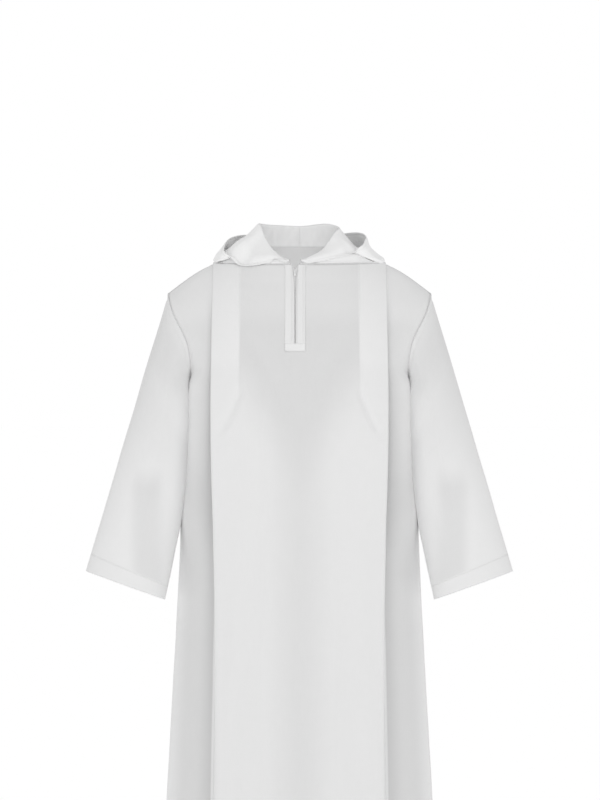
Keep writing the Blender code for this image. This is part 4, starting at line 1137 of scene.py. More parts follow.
# Rows and outlines of the pieces


def to_edge(side, row, across, v, back=False):
    """A panel's row with its side part added, from its last point out to the panel's edge."""
    return row + [side_part(side, row[-1], across, v, back, i / SIDE_STEPS) for i in range(1, SIDE_STEPS + 1)]


def fine_front_row(side, v):
    """Half a row of the front: its middle part, the strip, the pleat's other layers and the side part."""
    half = abs(front_middle(side, 1.0, v).x)
    room = (1 - pleat_value("fold_radius", v) / half - PLEAT_SHARE) / (1 - PLEAT_SHARE)
    strip = [PLEAT_SHARE + (share - PLEAT_SHARE) * room for share in STRIP_COLUMNS]
    row = [front_middle(side, share, v) for share in (slit_half(v) / half, *FRONT_COLUMNS, *strip)]
    row += [pleat_point(side, outwards, inwards, v) for outwards, inwards in pleat_path(v)]
    across, _ = front_frame(side, 1.0, v)
    return to_edge(side, row, across, v)


def fine_back_row(side, v):
    """Half a row of the back, from its centre."""
    row = [back_middle(side, share, v) for share in (*BACK_COLUMNS, 1.0)]
    return to_edge(side, row, (row[-1] - row[-3]).normalized(), v, True)


def side_shares(steps_out, last):
    """How far along the side part each column lies, from 0 where it starts to 1 at the panel's edge."""
    return np.clip((steps_out - (last - SIDE_STEPS)) / SIDE_STEPS, 0, 1)


def ring_turn(v):
    """The angle round the sleeve where the armhole's row v starts."""
    return float(np.interp(v, ROUND_ROWS, np.linspace(0, math.pi, len(ROUND_ROWS))))


def sleeve_ring(side, t):
    """A ring of the sleeve, from the shoulder point round the front to the underarm and back."""
    ends = [
        [Vector((side * track(SLEEVE, end + "_x", at), 0, track(SLEEVE, end + "_z", at))) for at in (0, t)]
        for end in ("outer", "inner")
    ]
    (tip, outer), (underarm, inner) = ends
    depth, forward = track(SLEEVE, "half_depth", t), Vector((0, -track(SLEEVE, "forward", t), 0))
    seams = [(v, False) for v in UPPER_FINE] + [(v, True) for v in UPPER_FINE[-2:0:-1]]
    leave = 1 - smooth(t / 0.30)
    ring = []
    for v, back in seams:
        angle = 2 * math.pi - ring_turn(v) if back else ring_turn(v)
        near_tip = (1 + math.cos(angle)) / 2
        start = armhole(side, v, back) + (inner - underarm).lerp(outer - tip, near_tip)
        oval = inner.lerp(outer, near_tip) - Vector((0, depth * math.sin(angle), 0))
        ring.append(oval.lerp(start, leave) + forward)
    return ring


def neck_line():
    """The places of the neck's columns from the zip round to the centre back, as (share, on the back)."""
    line = [(slit_half(0.0) / YOKE_HALF, False)]
    line += [(share, False) for share in (*SEAM_SHARES, 1.0)]
    return line + [(share, True) for share in reversed(BACK_COLUMNS)]


def on_front(side, x, v, out):
    """A point on the front beside the zip, x from its middle, lifted outwards."""
    _, inward = front_frame(side, max(x, 0.004) / YOKE_HALF, v)
    return front_middle(side, x / YOKE_HALF, v) - inward * out


# Soft forms and masks. Heights and widths in them are metres from the origin, as in the tables.

STRIP_SEAM_X, STRIP_SEAM_END_Z = 0.1225, -0.205  # the strip's sewn line
STRIP_START = len(FRONT_COLUMNS)  # control columns out from the slit
PLEAT_TURN = STRIP_START + len(STRIP_COLUMNS) + 1
# The painted light of a turned hem, which shows lighter.
HEM_PAINTED_LIGHT = 2.6
ROUND = 0.003  # how softly the panel meets the line that it swells to
YOKE_PUFF = 0.022
YOKE_ROWS = 6
YOKE_TOPSTITCH = 0.0055  # from the seam
HOOD_HEM = 0.006
# Rows of the hood's crest, fall, valley, outer fold and free edge.
CREST, FALL, VALLEY, FOLD, FREE_EDGE = (sum(HOOD_STEPS[:count]) for count in (2, 4, 5, 6, 9))
# The angle where the hollow behind each flap starts, and how far it is filled.
HOLLOWS = {-1: (58, 0.010), 1: (68, 0.002)}
SLEEVE_ROWS = 24  # above the hem
PLACKET_ROWS_OUT = (0.0, 0.08, 0.17, 0.26, 0.35, 0.5, 0.7, 0.84, 0.92, 1.0)
PLACKET_SEAMS = (-0.0074, 0.0168)  # stitched lines beside the zip, from its middle
PLACKET_BOX = (0.0020, 0.0165)  # stitched lines across the placket, up from its end
TOOTH_PITCH = 0.00135
TOOTH_SIZE = (0.0022, 0.0011, 0.0008)  # across, through and along the chain
TOOTH_INSET = 0.0006
VIEW_X, VIEW_Z = 0.001, -0.283  # the middle of the view
VIEW_HEIGHT = 1.64
FLOOR_REACH = 400


def from_hem(z):
    """How far each point is from the hem's row of stitches, where that is near."""
    return np.where(z < -0.7, z - HEM_TOP_Z, FAR)


def meet_sleeves(cloth, side_share, fullness):
    """Swells a panel sideways under the arms, against the sleeves. Gives how much, from 0 to 1."""
    x, z = cloth.points[..., 0], cloth.points[..., 2]
    aside = np.abs(x)
    near = fade(z, -0.205, -0.255) * fade(z, -0.640, -0.500)
    # The line that it swells to is its own edge, a little further out where the sleeve leaves room.
    limit = np.where(x < 0, aside[:, :1], aside[:, -1:]) + 0.0024 * fade(z, -0.29, -0.33)
    limit = limit + 0.0060 * hump(z, -0.262, 0.022) + 0.0020 * hump(z, -0.525, 0.045)
    wide = aside + fullness * fade(side_share, 0, 0.35) * (1 - 0.6 * side_share)
    wide = (wide + limit - np.sqrt((wide - limit) ** 2 + ROUND**2)) / 2
    at_seam = fade(z, -0.300, -0.280) * fade(side_share, 0.80, 1.0)
    share = near * fade(side_share, 0, 0.1) * (1 - at_seam)
    cloth.points[..., 0] = np.sign(x) * (aside + (wide - aside) * share)
    return near


def front_painted_light(x, z, side_share):
    """The front's painted light and shade, from 1 (dark painted shade, where one layer hangs clear) to 3."""
    aside = np.abs(x)
    # Between the pleats the chest hangs clear and is painted darker as shade; the skirt below a broad V is
    # painted lighter, and darker again down its middle.
    v_line = -0.318 + 0.172 * np.clip(aside / 0.115, 0, 1)
    low = fade(z, v_line, v_line - 0.21)
    chest = 1.52 - 0.50 * fade(z, -0.085, -0.145) + 0.14 * fade(z, -0.050, -0.038)
    body = chest + (2.1 - chest) * low
    body -= low * (0.50 * hump(x, 0, 0.040) + 0.15 * fade(aside, 0.07, 0.04))
    # Beside the pleats one layer hangs under the arm; it is painted with shade, darkest next to the pleat.
    shoulder = 1.50 + 0.62 * fade(z, -0.150, -0.095)
    below = 1.56 - 0.68 * fade(z, -0.38, -0.50)
    below += (1.30 + 0.4 * fade(z, -0.50, -0.40)) * fade(side_share, 0.45, 0.85)
    beside = np.where(z > UNDERARM_Z, shoulder, below)
    beside -= 0.95 * fade(side_share, 0.30, 0) * fade(z, -0.05, -0.12)
    return np.where(side_share > 0, beside, body)


def armhole_ridge(z, out, nip, puff):
    """What an armhole's seam adds: the cloth stands up at the seam, and puffs a little beside it."""
    ridge = nip * fade(z, -0.270, -0.220) * hump(out, 0, 0.002)
    return ridge + puff * fade(out, 0, 0.004) * hump(out, 0.010, 0.006)


def hood_cloth(side, hand):
    """One half of the hood as a fine grid, from its seam at the neck out to its free edge.

    Also gives how far each column belongs to the pouch, from 0 to 1.
    """
    line = neck_line()
    sections = [hood_section(side, share, back, neck_seam(side, share, back)) for share, back in line]
    cloth = Cloth("cloth_hood_" + hand, list(zip(*sections)), NECK_STEP, flip=side < 0)
    angles = np.degrees([math.pi - math.pi / 2 * share if back else neck_angle(share) for share, back in line])
    angles = np.interp(cloth.column_at, np.arange(len(line)), angles)[None, :]
    rows = cloth.row_at[:, None]
    # The flap falls smoothly to its edge, without the solid's sharper dip.
    ease = fade(angles, 73, 60) * fade(rows, FALL, FALL + 4)
    for _ in range(16):
        bend = cloth.points[:-2] + cloth.points[2:] - 2 * cloth.points[1:-1]
        cloth.points[1:-1] += 0.25 * ease[1:-1, :, None] * bend
    start, filled = HOLLOWS[side]
    hollow = fade(angles, start, start + 8) * fade(angles, 118, 104) * hump(rows, VALLEY, 5)
    cloth.points[..., 2] += filled * hollow
    # The flap's edge and the outer fold settle on the yoke and shoulder.
    flap = fade(angles, 6, 18) * fade(angles, 68, 62) * fade(rows, FREE_EDGE - 14, FREE_EDGE - 2)
    pouch = fade(angles, 51, 61) * fade(angles, 101, 83) * hump(rows, FOLD, 6)
    cloth.points[..., 2] -= 0.0050 * flap + 0.0108 * pouch
    if side < 0:
        # The right side is a little narrower above the shoulder.
        x, z = cloth.points[..., 0], cloth.points[..., 2]
        x += 0.005 * fade(x, -0.125, -0.155) * hump(z, 0.036, 0.014)
    # It meets the neck's seam without a chink.
    cloth.points[0] -= 0.0005 * unit(cloth.points[1] - cloth.points[0])
    cloth.flat = cloth.weave_map()
    return cloth, fade(angles, 58, 68)


def hood_cover():
    """Both halves of the hood as a tree that rays can be cast at."""
    corners, faces = [], []
    for side, hand in HANDS:
        points = hood_cloth(side, hand)[0].points
        index = len(corners) + np.arange(points.size // 3).reshape(points.shape[:2])
        corners += [Vector(point) for point in points.reshape(-1, 3)]
        squares = np.stack([index[:-1, :-1], index[:-1, 1:], index[1:, 1:], index[1:, :-1]], axis=2)
        faces += squares.reshape(-1, 4).tolist()
    return BVHTree.FromPolygons(corners, faces)


def room_under(cover, spot):
    """How far a spot and its neighbourhood can rise before they touch the cover, less a small clearance."""
    clearance, aside, lift, reach = 0.0010, 0.006, 0.0005, 0.08
    room = 1.0
    for shift in ((0, 0), (aside, 0), (-aside, 0), (0, -aside), (0, aside)):
        hit, _, _, distance = cover.ray_cast(spot + Vector((*shift, lift)), Vector((0, 0, 1)), reach)
        if hit is not None:
            room = min(room, max(distance - clearance, 0.0))
    return room


def dress(piece, node):
    """Puts a piece in its solid's place."""
    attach(piece, "alb")
    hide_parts(node)


# Operators


class ALB_OT_front(bpy.types.Operator):
    """Makes the front: its middle part, the pleats at each side and the slit for the zip"""

    bl_idname = "alb.front"
    bl_label = "Front"

    def execute(self, context):
        rows = [[*reversed(fine_front_row(-1, v)), *fine_front_row(1, v)] for v in PANEL_ROWS]
        cloth = Cloth("cloth_front", rows, PANEL_STEP, flip=True, down_step=FRONT_DOWN_STEP)
        x, z = cloth.points[..., 0], cloth.points[..., 2]
        half = len(rows[0]) // 2
        from_slit = np.abs(cloth.column_at - (half - 0.5)) - 0.5
        side_share = side_shares(from_slit, half - 1)
        in_strip = (from_slit >= STRIP_START - TINY) & (from_slit <= PLEAT_TURN)
        on_strip = in_strip | (from_slit < STRIP_START)
        cloth.layers = front_painted_light(x, z, side_share)
        # The pressed pleat lies three deep down to its slanting end, where it is painted lighter.
        end_z = -0.276 - 0.075 * np.clip((np.abs(x) - 0.122) / 0.045, 0, 1)
        pressed = fade(z, end_z - 0.015, end_z + 0.015) * in_strip
        cloth.layers += np.maximum(2.40 - 0.25 * fade(z, -0.19, -0.24) - cloth.layers, 0) * pressed
        hem_row = cloth.row(HEM_ROW)
        cloth.turn_hem(hem_row, HEM_PAINTED_LIGHT)
        down = cloth.flat[..., 1]
        to_rim = cloth.to_ends()
        cloth.edge = np.minimum(down, np.maximum(to_rim - 0.0004, 0))
        from_strip = np.abs(x) - STRIP_SEAM_X
        cloth.stitch = np.abs(np.where((z > STRIP_SEAM_END_Z) & on_strip, from_strip, from_hem(z)))
        near = meet_sleeves(cloth, side_share, 0.022)
        # The swollen cloth lies almost level with the pleat beside it.
        first, final = np.flatnonzero(side_share == 0)[[0, -1]]
        y = cloth.points[..., 1]
        level = np.where(x < 0, y[:, [first]], y[:, [final]])
        y += (level - y) * (0.85 * near * fade(side_share, 0, 0.10) * fade(side_share, 1, 0.55))
        # The pleat's hidden layers move with its edge.
        directions = cloth.normals()
        hidden = (side_share == 0) & (from_slit > PLEAT_TURN - 0.5)
        right = cloth.column_at < half - 0.5
        for columns in (np.flatnonzero(hidden & right), np.flatnonzero(hidden & ~right)[::-1]):
            directions[:, columns] = directions[:, columns[-1:]]
        amount = creased(cloth.points[..., [0, 2]], FRONT_CREASES)
        amount += 0.0007 * ripple(cloth.points * (1, 1, 0.45), 0.055, 3.1)
        amount += armhole_ridge(z, to_rim, 0.0009, 0.0007 * fade(z, -0.225, -0.165))
        # The strip's sewn line is a narrow groove with a ridge on the pleat's side of it.
        from_strip = np.abs(x) - STRIP_SEAM_X + FAR * fade(z, -0.195, STRIP_SEAM_END_Z)
        from_strip = np.where(on_strip, from_strip, FAR)
        amount += 0.0006 * hump(from_strip, 0.0035, 0.0025) - 0.0005 * hump(from_strip, 0, 0.002)
        cloth.move(amount * fade(down, 0, 0.02), directions)
        slit = cloth.slit(PANEL_ROWS.index(ZIP_END_V), len(rows[0]))
        made = cloth.build(white_cloth(), CLOTH, HEM_EXTRA, holes=slit)
        dress(made, "front")
        lines = []
        for control in (half - 1 - STRIP_START, half + STRIP_START):
            column = int(np.argmin(np.abs(cloth.column_at - control)))
            lines.append(cloth.line((z[:, column] > STRIP_SEAM_END_Z) & (down[:, column] > 0.006), column))
        sewing = sew("sewing_front", [*lines, cloth.line(hem_row, slice(None))])
        return {"FINISHED"}


class ALB_OT_back(bpy.types.Operator):
    """Makes the back, a plain panel with soft folds towards its hem"""

    bl_idname = "alb.back"
    bl_label = "Back"

    def execute(self, context):
        rows = [[*reversed(fine_back_row(-1, v)), *fine_back_row(1, v)[1:]] for v in PANEL_ROWS]
        cloth = Cloth("cloth_back", rows, PANEL_STEP)
        last = len(rows[0]) // 2
        meet_sleeves(cloth, side_shares(np.abs(cloth.column_at - last), last), 0.001)
        x, z = cloth.points[..., 0], cloth.points[..., 2]
        # It is painted lighter low down and at the sides, and painted with light under the hood, where the neck
        # is looked into.
        cloth.layers = 1.55 + 0.65 * fade(z, -0.20, -0.50) + 0.5 * fade(np.abs(x), 0.20, 0.23)
        cloth.layers += 2.0 * fade(z, -0.09, -0.04) * fade(np.abs(x), 0.14, 0.10)
        hem_row = cloth.row(HEM_ROW)
        cloth.turn_hem(hem_row, HEM_PAINTED_LIGHT)
        cloth.stitch = np.abs(from_hem(z))
        down = cloth.flat[..., 1]
        to_rim = cloth.to_ends()
        cloth.edge = np.minimum(down, to_rim)
        amount = creased(cloth.points[..., [0, 2]], BACK_CREASES)
        amount += 0.0008 * ripple(cloth.points * (1, 1, 0.45), 0.055, 7.7)
        amount += armhole_ridge(z, to_rim, 0.0007, 0.0010 * fade(z, -0.270, -0.220))
        cloth.move(amount * fade(down, 0, 0.02))
        made = cloth.build(white_cloth(), CLOTH, HEM_EXTRA)
        dress(made, "back")
        sewing = sew("sewing_back", [cloth.line(hem_row, slice(None))])
        return {"FINISHED"}


class ALB_OT_yoke(bpy.types.Operator):
    """Makes the yoke round the neck, puffed up under the hood that lies on it"""

    bl_idname = "alb.yoke"
    bl_label = "Yoke"

    def execute(self, context):
        line = neck_line()
        ring = [(-1, *place) for place in line] + [(1, *place) for place in reversed(line[:-1])]
        rows = [[yoke_point(*place, w / YOKE_ROWS) for place in ring] for w in range(YOKE_ROWS + 1)]
        cloth = Cloth("cloth_yoke", rows, NECK_STEP, flip=True)
        x, y = cloth.points[..., 0], cloth.points[..., 1]
        # The yoke is painted lighter on its back half, under the hood.
        cloth.layers = 2.8 + 0.8 * fade(y, 0, 0.02)
        # It rises towards the hood, and stops short of it.
        cover = hood_cover()
        at = np.clip(cloth.row_at / YOKE_ROWS, 0, 1)[:, None]
        want = YOKE_PUFF * fade(np.abs(x), 0.030, 0.070) * fade(at, 0, 0.13) * fade(at, 1, 0.78)
        want = want * fade(y, 0.02, -0.02)
        room = np.full(want.shape, 1.0)
        for index in zip(*np.nonzero(want > 0)):
            room[index] = room_under(cover, Vector(cloth.points[index]))
        rise = np.minimum(want, room)
        for _ in range(3):
            around = rise[:-2, 1:-1] + rise[2:, 1:-1] + rise[1:-1, :-2] + rise[1:-1, 2:]
            rise[1:-1, 1:-1] = (rise[1:-1, 1:-1] * 2 + around) / 6
            rise = np.minimum(rise, room)
        cloth.points[..., 2] += rise
        out = np.linalg.norm(cloth.points - cloth.points[:1], axis=2)
        cloth.edge = np.where(y > 0.01, FAR, np.minimum(cloth.edge, out))
        cloth.stitch = np.where(out < 0.03, out - YOKE_TOPSTITCH, FAR)
        made = cloth.build(white_cloth(), CLOTH)
        dress(made, "yoke")
        row = int(np.argmin(np.abs(out.mean(axis=1) - YOKE_TOPSTITCH)))
        sewing = sew("sewing_yoke", [cloth.line(row, slice(None))])
        return {"FINISHED"}


class ALB_OT_sleeves(bpy.types.Operator):
    """Makes both sleeves, set in at the armholes, with a turned hem at each cuff"""

    bl_idname = "alb.sleeves"
    bl_label = "Sleeves"

    def execute(self, context):
        hem_start = 1 - HEM_DEPTH / SLEEVE_LENGTH
        ts = [*(i / SLEEVE_ROWS * hem_start for i in range(SLEEVE_ROWS + 1)), (hem_start + 1) / 2, 1.0]
        for side, hand in HANDS:
            rings = [sleeve_ring(side, t) for t in ts]
            cloth = Cloth("cloth_sleeve_" + hand, rings, SLEEVE_STEP, ring=True, flip=side < 0)
            hem_row = cloth.row(SLEEVE_ROWS)
            down = cloth.flat[..., 1]
            x, z = side * cloth.points[..., 0], cloth.points[..., 2]
            out = np.linalg.norm(cloth.points - cloth.points[:1], axis=2)
            # The sleeve is painted lighter by the armhole and lower down; the middle of the lower sleeve, which
            # hangs as one clear layer, is painted with a column of shade, and the hem is painted lighter.
            cloth.layers = 1.70 + 0.35 * fade(out, 0.05, 0) + 0.55 * fade(down, 0.16, 0.38)
            cloth.layers -= 0.98 * hump(x, 0.311, 0.031, 4) * fade(z, -0.41, -0.47)
            cloth.turn_hem(hem_row, 2.2)
            cloth.stitch = np.abs(np.where(down > 0.3, down - down[hem_row, 0], FAR))
            cloth.edge = out
            self.square_off(side, cloth, z)
            cloth.move(self.folds(side, cloth, x, z, down, out))
            made = cloth.build(white_cloth(), CLOTH, HEM_EXTRA)
            dress(made, "sleeve_" + hand)
            sewing = sew("sewing_sleeve_" + hand, [cloth.line(hem_row, slice(None))])
        return {"FINISHED"}

    def square_off(self, side, cloth, z):
        """Makes the front of the sleeve squarer towards the body, where it lies against it."""
        points = cloth.points
        offset = points - (points.max(axis=1, keepdims=True) + points.min(axis=1, keepdims=True)) / 2
        reach = offset / np.abs(offset).max(axis=1, keepdims=True)
        corner = 2 * np.maximum(-side * reach[..., 0], 0) * np.maximum(-reach[..., 1], 0)
        squarer = 0.11 * fade(z, -0.230, -0.280) * fade(z, -0.54, -0.44)
        points += offset * (corner * squarer)[..., None]

    def folds(self, side, cloth, x, z, down, out):
        """How far the sleeve's creases, and its cap that is eased into the armhole, stand out."""
        places = np.stack([x, z], axis=2)
        front = cloth.column_at < len(UPPER_FINE) - 1
        amount = np.where(front, *(creased(places, SLEEVE_CREASES[side, facing]) for facing in (True, False)))
        amount += 0.0007 * ripple(cloth.points * (1, 1, 0.5), 0.05, 1.3 + side)
        amount = amount * fade(down, 0, 0.03)
        # A puffed ridge runs beside the seam, with a dip past it and small puckers across it.
        around = lengths_along(cloth.points[0])
        cap, ridge = fade(z[:1], -0.265, -0.205), fade(z[:1], -0.225, -0.155)
        amount += ridge * 0.0010 * hump(out, 0.0055, 0.0032) * fade(out, 0, 0.003)
        amount += cap * 0.0010 * hump(out, 0, 0.002)
        amount -= ridge * 0.0012 * hump(out, 0.0140, 0.0040)
        uneven = 0.6 + 0.4 * np.sin(around * 190 + side) * np.sin(around * 83 + 2.1)
        puckers = np.sin(2 * math.pi * around / 0.0115 + 1.5 * np.sin(around * 60))
        return amount + ridge * uneven * 0.0005 * puckers * np.exp(-out / 0.011) * fade(out, 0, 0.004)


class ALB_OT_hood(bpy.types.Operator):
    """Makes the hood's two halves, joined down the middle and laid back, with stitched edges"""

    bl_idname = "alb.hood"
    bl_label = "Hood"

    def execute(self, context):
        for side, hand in HANDS:
            cloth, pouch = hood_cloth(side, hand)
            across = cloth.flat[..., 0]
            along = lengths_along(cloth.points)
            to_free = along[-1:] - along
            crest = cloth.row(CREST)
            past_crest = along - along[crest]
            cloth.stitch = to_free - HOOD_HEM
            # Painted shade: the collar inside the crest is painted darker, unevenly, the pouch a little
            # lighter, and it is painted darker behind the neck.
            uneven_collar_shade = 0.5 * ripple(cloth.points * (1, 1, 0.4), 0.011, 8.8) - 0.75
            cloth.layers = 3.25 + 0.35 * pouch + uneven_collar_shade * fade(past_crest, 0.006, -0.006)
            cloth.layers -= 1.2 * fade(cloth.points[..., 1], 0.035, 0.085) * fade(past_crest, 0, 0.02)
            # Fine wrinkles run from the crest out to the edge; broad soft hollows lie across them.
            around = np.broadcast_to(across[crest], across.shape)
            places = np.stack([around / 0.008, along / 0.045, np.full(across.shape, 2.0 + side)], axis=2)
            fine = ripple(places, 1.0, 5.3)
            broad = ripple(cloth.points, 0.022, 9.1 + side)
            amount = (0.00050 * fine + 0.0012 * broad) * np.clip(past_crest / 0.010, 0, 1)
            amount *= fade(along[-1] - along[crest], 0.022, 0.052)
            collar = 0.0014 * ripple(cloth.points * (1.6, 1, 0.5), 0.016, 4.4) + 0.0007 * fine
            amount += fade(along, 0, 0.015) * fade(past_crest, 0, -0.012) * collar
            # The turned hem at the free edge is a little proud, with its row of stitches.
            amount += 0.0003 * fade(to_free, HOOD_HEM + 0.001, HOOD_HEM - 0.001) * fade(to_free, 0, 0.002)
            amount *= fade(along, 0, 0.010) * fade(to_free, 0, 0.003)
            amount *= fade(across - across[:, :1], 0, 0.006) * fade(across[:, -1:] - across, 0, 0.006)
            cloth.move(amount)
            # The two halves run on smoothly at the middle seam.
            middle = cloth.points[:, -1, 1:]
            cloth.points[:, -2, 1:] = middle
            cloth.points[:, -3, 1:] = (cloth.points[:, -3, 1:] + middle) / 2
            made = cloth.build(white_cloth(), HOOD_CLOTH)
            dress(made, "hood_" + hand)
            row = int(np.argmin(np.abs(to_free.mean(axis=1) - HOOD_HEM)))
            sewing = sew("sewing_hood_" + hand, [cloth.line(row, slice(None))])
        return {"FINISHED"}


class ALB_OT_placket(bpy.types.Operator):
    """Makes the zip's folded placket with its square end"""

    bl_idname = "alb.placket"
    bl_label = "Placket"

    def execute(self, context):
        vs = [v for v in UPPER_FINE if v <= PLACKET_END_V]
        lift = CLOTH / 2 + LAYER_GAP + TRIM_CLOTH / 2
        rows = []
        for v in vs:
            v = max(v, 0.008)
            half = min(slit_half(v), 0.006)
            xs = [half + (PLACKET_HALF - half) * share for share in PLACKET_ROWS_OUT]
            right = [on_front(-1, x, v, lift) for x in reversed(xs)]
            rows.append(right + [on_front(1, x, v, lift) for x in xs])
        cloth = Cloth("cloth_placket", rows, PLACKET_STEP, flip=True)
        x, z = cloth.points[..., 0] - CENTRE_X, cloth.points[..., 2]
        up = z - z[-1].mean()
        boxed = up < PLACKET_BOX[1]
        # The wearer's right edge is one flat fold; the left one laps over a lower inner strip.
        inner = (x > 0.0) & (x < 0.0062) & ~boxed
        # Its colour is painted darker near the zip as shade, darkest on the inner strip under the lap and
        # lightest at the boxed end.
        cloth.layers = np.where(inner, 1.25, np.where((x > -0.0070) & (x < 0), 1.7, 2.1))
        cloth.layers = np.where(boxed, 2.3, cloth.layers)
        seams, box = (
            np.minimum(*(np.abs(values - place) for place in places))
            for values, places in ((x, PLACKET_SEAMS), (up, PLACKET_BOX))
        )
        cloth.stitch = np.where(boxed, box, np.minimum(seams, np.abs(up - PLACKET_BOX[1])))
        amount = -0.0004 * fade(x, -0.0005, 0.0003) * fade(x, 0.0070, 0.0056) * ~boxed
        amount = amount - 0.0003 * (hump(seams, 0, 0.0009) * ~boxed + hump(box, 0, 0.0009))
        cloth.move(amount + 0.0001 * ripple(cloth.points * (1, 1, 0.3), 0.012, 6.2))
        slit = cloth.slit(vs.index(ZIP_END_V), len(rows[0]))
        made = cloth.build(placket_cloth(), TRIM_CLOTH, holes=slit)
        dress(made, "placket")
        lines = []
        for place in PLACKET_SEAMS:
            column = int(np.argmin(np.abs(x - place).mean(axis=0)))
            lines.append(cloth.line(up[:, column] > PLACKET_BOX[0], column))
        for place in PLACKET_BOX:
            row = int(np.argmin(np.abs(up.mean(axis=1) - place)))
            lines.append(cloth.line(row, np.abs(x[row]) < 0.0172))
        sewing = sew("sewing_placket", lines)
        return {"FINISHED"}


class ALB_OT_zip(bpy.types.Operator):
    """Makes the zip's tapes and teeth, and finishes its slider and pull"""

    bl_idname = "alb.zip"
    bl_label = "Zip"

    def execute(self, context):
        drop = -(CLOTH / 2 + LAYER_GAP + TAPE_CLOTH / 2)
        for side, hand in HANDS:
            rows = []
            for v in UPPER_FINE[: UPPER_FINE.index(PLACKET_END_V)]:
                v = max(v, 0.02)
                xs = (self.inner_edge(v), 0.003, 0.006, 0.009, TAPE_HALF)
                rows.append([on_front(side, x, v, drop) for x in xs])
            cloth = Cloth("cloth_zip_tape_" + hand, rows, TAPE_STEP, flip=side > 0)
            made = cloth.build(tape_cloth(), TAPE_CLOTH)
            dress(made, "zip_tape_" + hand)
            chain = self.teeth(side, hand, drop)
        for node in ("zip_slider", "zip_pull"):
            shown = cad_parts[node]
            shown.data.materials.clear()
            shown.data.materials.append(enamel())
        return {"FINISHED"}

    def inner_edge(self, v):
        """How far the tape's inner edge is from the middle of the zip."""
        return max(0.0004, slit_half(v) - 0.004)

    def teeth(self, side, hand, drop):
        """One side's chain of teeth, each a short rounded bar on the tape's inner edge."""
        vs = np.linspace(0.03, ZIP_END_V - 0.003, 400)
        path = [on_front(side, self.inner_edge(v) + TOOTH_INSET, v, drop - TOOTH_INSET) for v in vs]
        path = np.array([tuple(point) for point in path])
        along = lengths_along(path)
        spots = []
        for i in range(int(along[-1] / TOOTH_PITCH)):
            # The two sides' teeth take turns.
            at = (i + (0.5 if side > 0 else 0.0)) * TOOTH_PITCH
            v = float(np.interp(at, along, vs))
            across, inward = front_frame(side, 0.05, v)
            axes = across, inward, across.cross(inward) * side
            axes = np.array([axis * size for axis, size in zip(axes, TOOTH_SIZE)])
            spots.append((axes, between(at, along, path)))
        chain = many_of("zip_teeth_" + hand, 8, 6, spots, nylon(), roundness=0.6)
        return chain


class ALB_OT_stage(bpy.types.Operator):
    """Makes the floor, the light and the camera"""

    bl_idname = "alb.stage"
    bl_label = "Stage"

    def execute(self, context):
        context.scene.view_settings.view_transform = "Standard"
        self.lay_floor(context.scene)
        self.fill_studio(context.scene)
        self.hang_lamps(context.scene)
        self.place_camera(context.scene)
        return {"FINISHED"}

    def lay_floor(self, scene):
        """A pale floor that fades into the background."""
        bm = bmesh.new()
        bmesh.ops.create_grid(bm, x_segments=1, y_segments=1, size=FLOOR_REACH)
        bmesh.ops.translate(bm, vec=(0, 0, scene.alb_stage.floor_level), verts=bm.verts)
        mesh = bpy.data.meshes.new("floor")
        bm.to_mesh(mesh)
        bm.free()
        floor = bpy.data.objects.new("floor", mesh)
        scene.collection.objects.link(floor)
        paint, _, shader = new_material("floor_paint")
        for name, value in (
            ("Base Color", (0.93, 0.93, 0.93, 1)),
            ("Roughness", 0.9),
            ("Emission Color", (1, 1, 1, 1)),
            ("Emission Strength", scene.alb_stage.floor_glow),
        ):
            shader.inputs[name].default_value = value
        mesh.materials.append(paint)

    def fill_studio(self, scene):
        """Light from all round, behind which the camera sees plain white."""
        world = bpy.data.worlds.new("studio")
        world.use_nodes = True
        scene.world = world
        tree = world.node_tree
        light = tree.nodes["Background"]
        light.inputs["Color"].default_value = (1, 1, 1, 1)
        light.inputs["Strength"].default_value = scene.alb_stage.fill
        seen = put(tree, "Background", (1, 1, 1, 1), 1.0)
        path = put(tree, "LightPath")
        mix = put(tree, "MixShader", path.outputs["Is Camera Ray"], light.outputs[0], seen.outputs[0])
        tree.links.new(mix.outputs[0], tree.nodes["World Output"].inputs["Surface"])

    def hang_lamps(self, scene):
        """Large soft lamps before and behind, and a small one that lights the inside of the neck."""
        key, neck = scene.alb_stage.key, scene.alb_stage.neck
        for name, place, aim, size, power in (
            ("front_light", (0.0, -3.0, 2.2), (0, 0, -0.5), 2.0, key),
            ("back_light", (1.0, 4.5, 1.0), (0, 0, -0.5), 3.0, key * 0.5),
            ("neck_light", (-0.008, -0.035, -0.056), (-0.006, 0.075, 0.000), 0.12, neck),
        ):
            lamp = bpy.data.lights.new(name, "AREA")
            lamp.shape, lamp.size, lamp.energy = "DISK", size, power
            made = bpy.data.objects.new(name, lamp)
            scene.collection.objects.link(made)
            made.location = place
            made.rotation_euler = (Vector(aim) - Vector(place)).to_track_quat("-Z", "Y").to_euler()
            made.visible_camera = False

    def place_camera(self, scene):
        """A camera that looks straight at the front, from far off, so that nothing is foreshortened."""
        distance = scene.alb_stage.distance
        lens = bpy.data.cameras.new("camera")
        camera = bpy.data.objects.new("camera", lens)
        scene.collection.objects.link(camera)
        camera.location = (VIEW_X, -distance, VIEW_Z)
        camera.rotation_euler = (math.pi / 2, 0, 0)
        lens.lens = lens.sensor_width * distance / VIEW_HEIGHT
        lens.clip_end = 2000
        scene.camera = camera


# Settings


def colour_setting(name, description, grey):
    """A colour setting, grey by default."""
    return FloatVectorProperty(
        name=name, description=description, subtype="COLOR", size=3, min=0, max=1, default=(grey, grey, grey)
    )


def number_setting(name, description, default, low, high, unit="NONE"):
    """A number setting with its range and unit."""
    return FloatProperty(name=name, description=description, unit=unit, min=low, max=high, default=default)


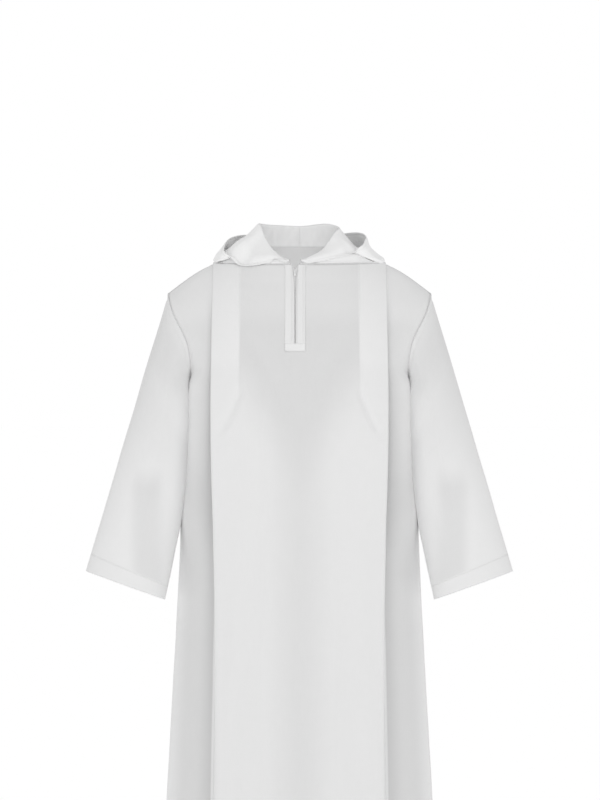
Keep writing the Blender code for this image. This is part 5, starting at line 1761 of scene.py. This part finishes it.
class ClothSettings(bpy.types.PropertyGroup):
    """The cloth's colours and weave"""

    # The cloth's colour runs from the full colour down to the shaded one, which is painted shade.
    full_colour: colour_setting("Cloth", "Colour of the cloth where no painted shade falls", 0.985)
    single_colour: colour_setting("Painted shade", "Colour of the deepest painted shade on the cloth", 0.655)
    threads: number_setting("Threads", "Threads in each metre of the weave", 2200, 500, 4000)


class ZipSettings(bpy.types.PropertyGroup):
    """The zip's colours"""

    tape_colour: colour_setting("Tape", "Colour of the zip's tapes", 0.86)
    # The teeth are painted grey as shade; their nylon is white.
    teeth_shade_colour: colour_setting("Teeth", "Grey of the zip's teeth, painted shade over white nylon", 0.78)
    slider_colour: colour_setting("Slider", "Colour of the slider and its pull", 0.80)


class SewingSettings(bpy.types.PropertyGroup):
    """The sewing thread"""

    colour: colour_setting("Thread", "Colour of the sewing thread", 0.92)
    pitch: number_setting("Stitch", "From one stitch to the next", 0.0030, 0.001, 0.01, "LENGTH")
    thread: number_setting("Thread width", "Width of the thread", 0.0005, 0.0001, 0.002, "LENGTH")


class StageSettings(bpy.types.PropertyGroup):
    """The floor, light and camera"""

    floor_level: number_setting("Floor", "Height of the floor", -1.46, -10, 10, "LENGTH")
    floor_glow: number_setting("Floor glow", "How brightly the floor is lit from within", 0.42, 0, 2)
    fill: number_setting("Fill", "Strength of the light from all round", 0.62, 0, 2)
    key: number_setting("Key", "Power of the front light", 22, 0, 2000, "POWER")
    neck: number_setting("Neck", "Power of the small light in the neck", 0.06, 0, 10, "POWER")
    distance: number_setting("Distance", "From the camera to the garment", 20, 2, 60, "LENGTH")


class ALB_PT_panel(bpy.types.Panel):
    """The sidebar panel that makes the pieces and holds their settings"""

    bl_idname = "ALB_PT_panel"
    bl_label = "Hooded alb"
    bl_space_type = "VIEW_3D"
    bl_region_type = "UI"
    bl_category = "Alb"

    def draw(self, context):
        for settings in SETTINGS:
            box = self.layout.box()
            for name in SETTINGS[settings].__annotations__:
                box.prop(getattr(context.scene, settings), name)
        for operator in OPERATORS:
            self.layout.operator(operator.bl_idname)


SETTINGS = {
    "alb_cloth": ClothSettings,
    "alb_zip": ZipSettings,
    "alb_sewing": SewingSettings,
    "alb_stage": StageSettings,
}
OPERATORS = (
    ALB_OT_front,
    ALB_OT_back,
    ALB_OT_yoke,
    ALB_OT_sleeves,
    ALB_OT_hood,
    ALB_OT_placket,
    ALB_OT_zip,
    ALB_OT_stage,
)


def register():
    for kind in (*SETTINGS.values(), *OPERATORS, ALB_PT_panel):
        bpy.utils.register_class(kind)
    for name, kind in SETTINGS.items():
        setattr(bpy.types.Scene, name, PointerProperty(type=kind))


def unregister():
    for name in SETTINGS:
        delattr(bpy.types.Scene, name)
    for kind in reversed((*SETTINGS.values(), *OPERATORS, ALB_PT_panel)):
        bpy.utils.unregister_class(kind)


def main():
    register()
    for operator in OPERATORS:
        getattr(bpy.ops.alb, operator.bl_idname.split(".")[1])()


if __name__ == "__main__":
    main()
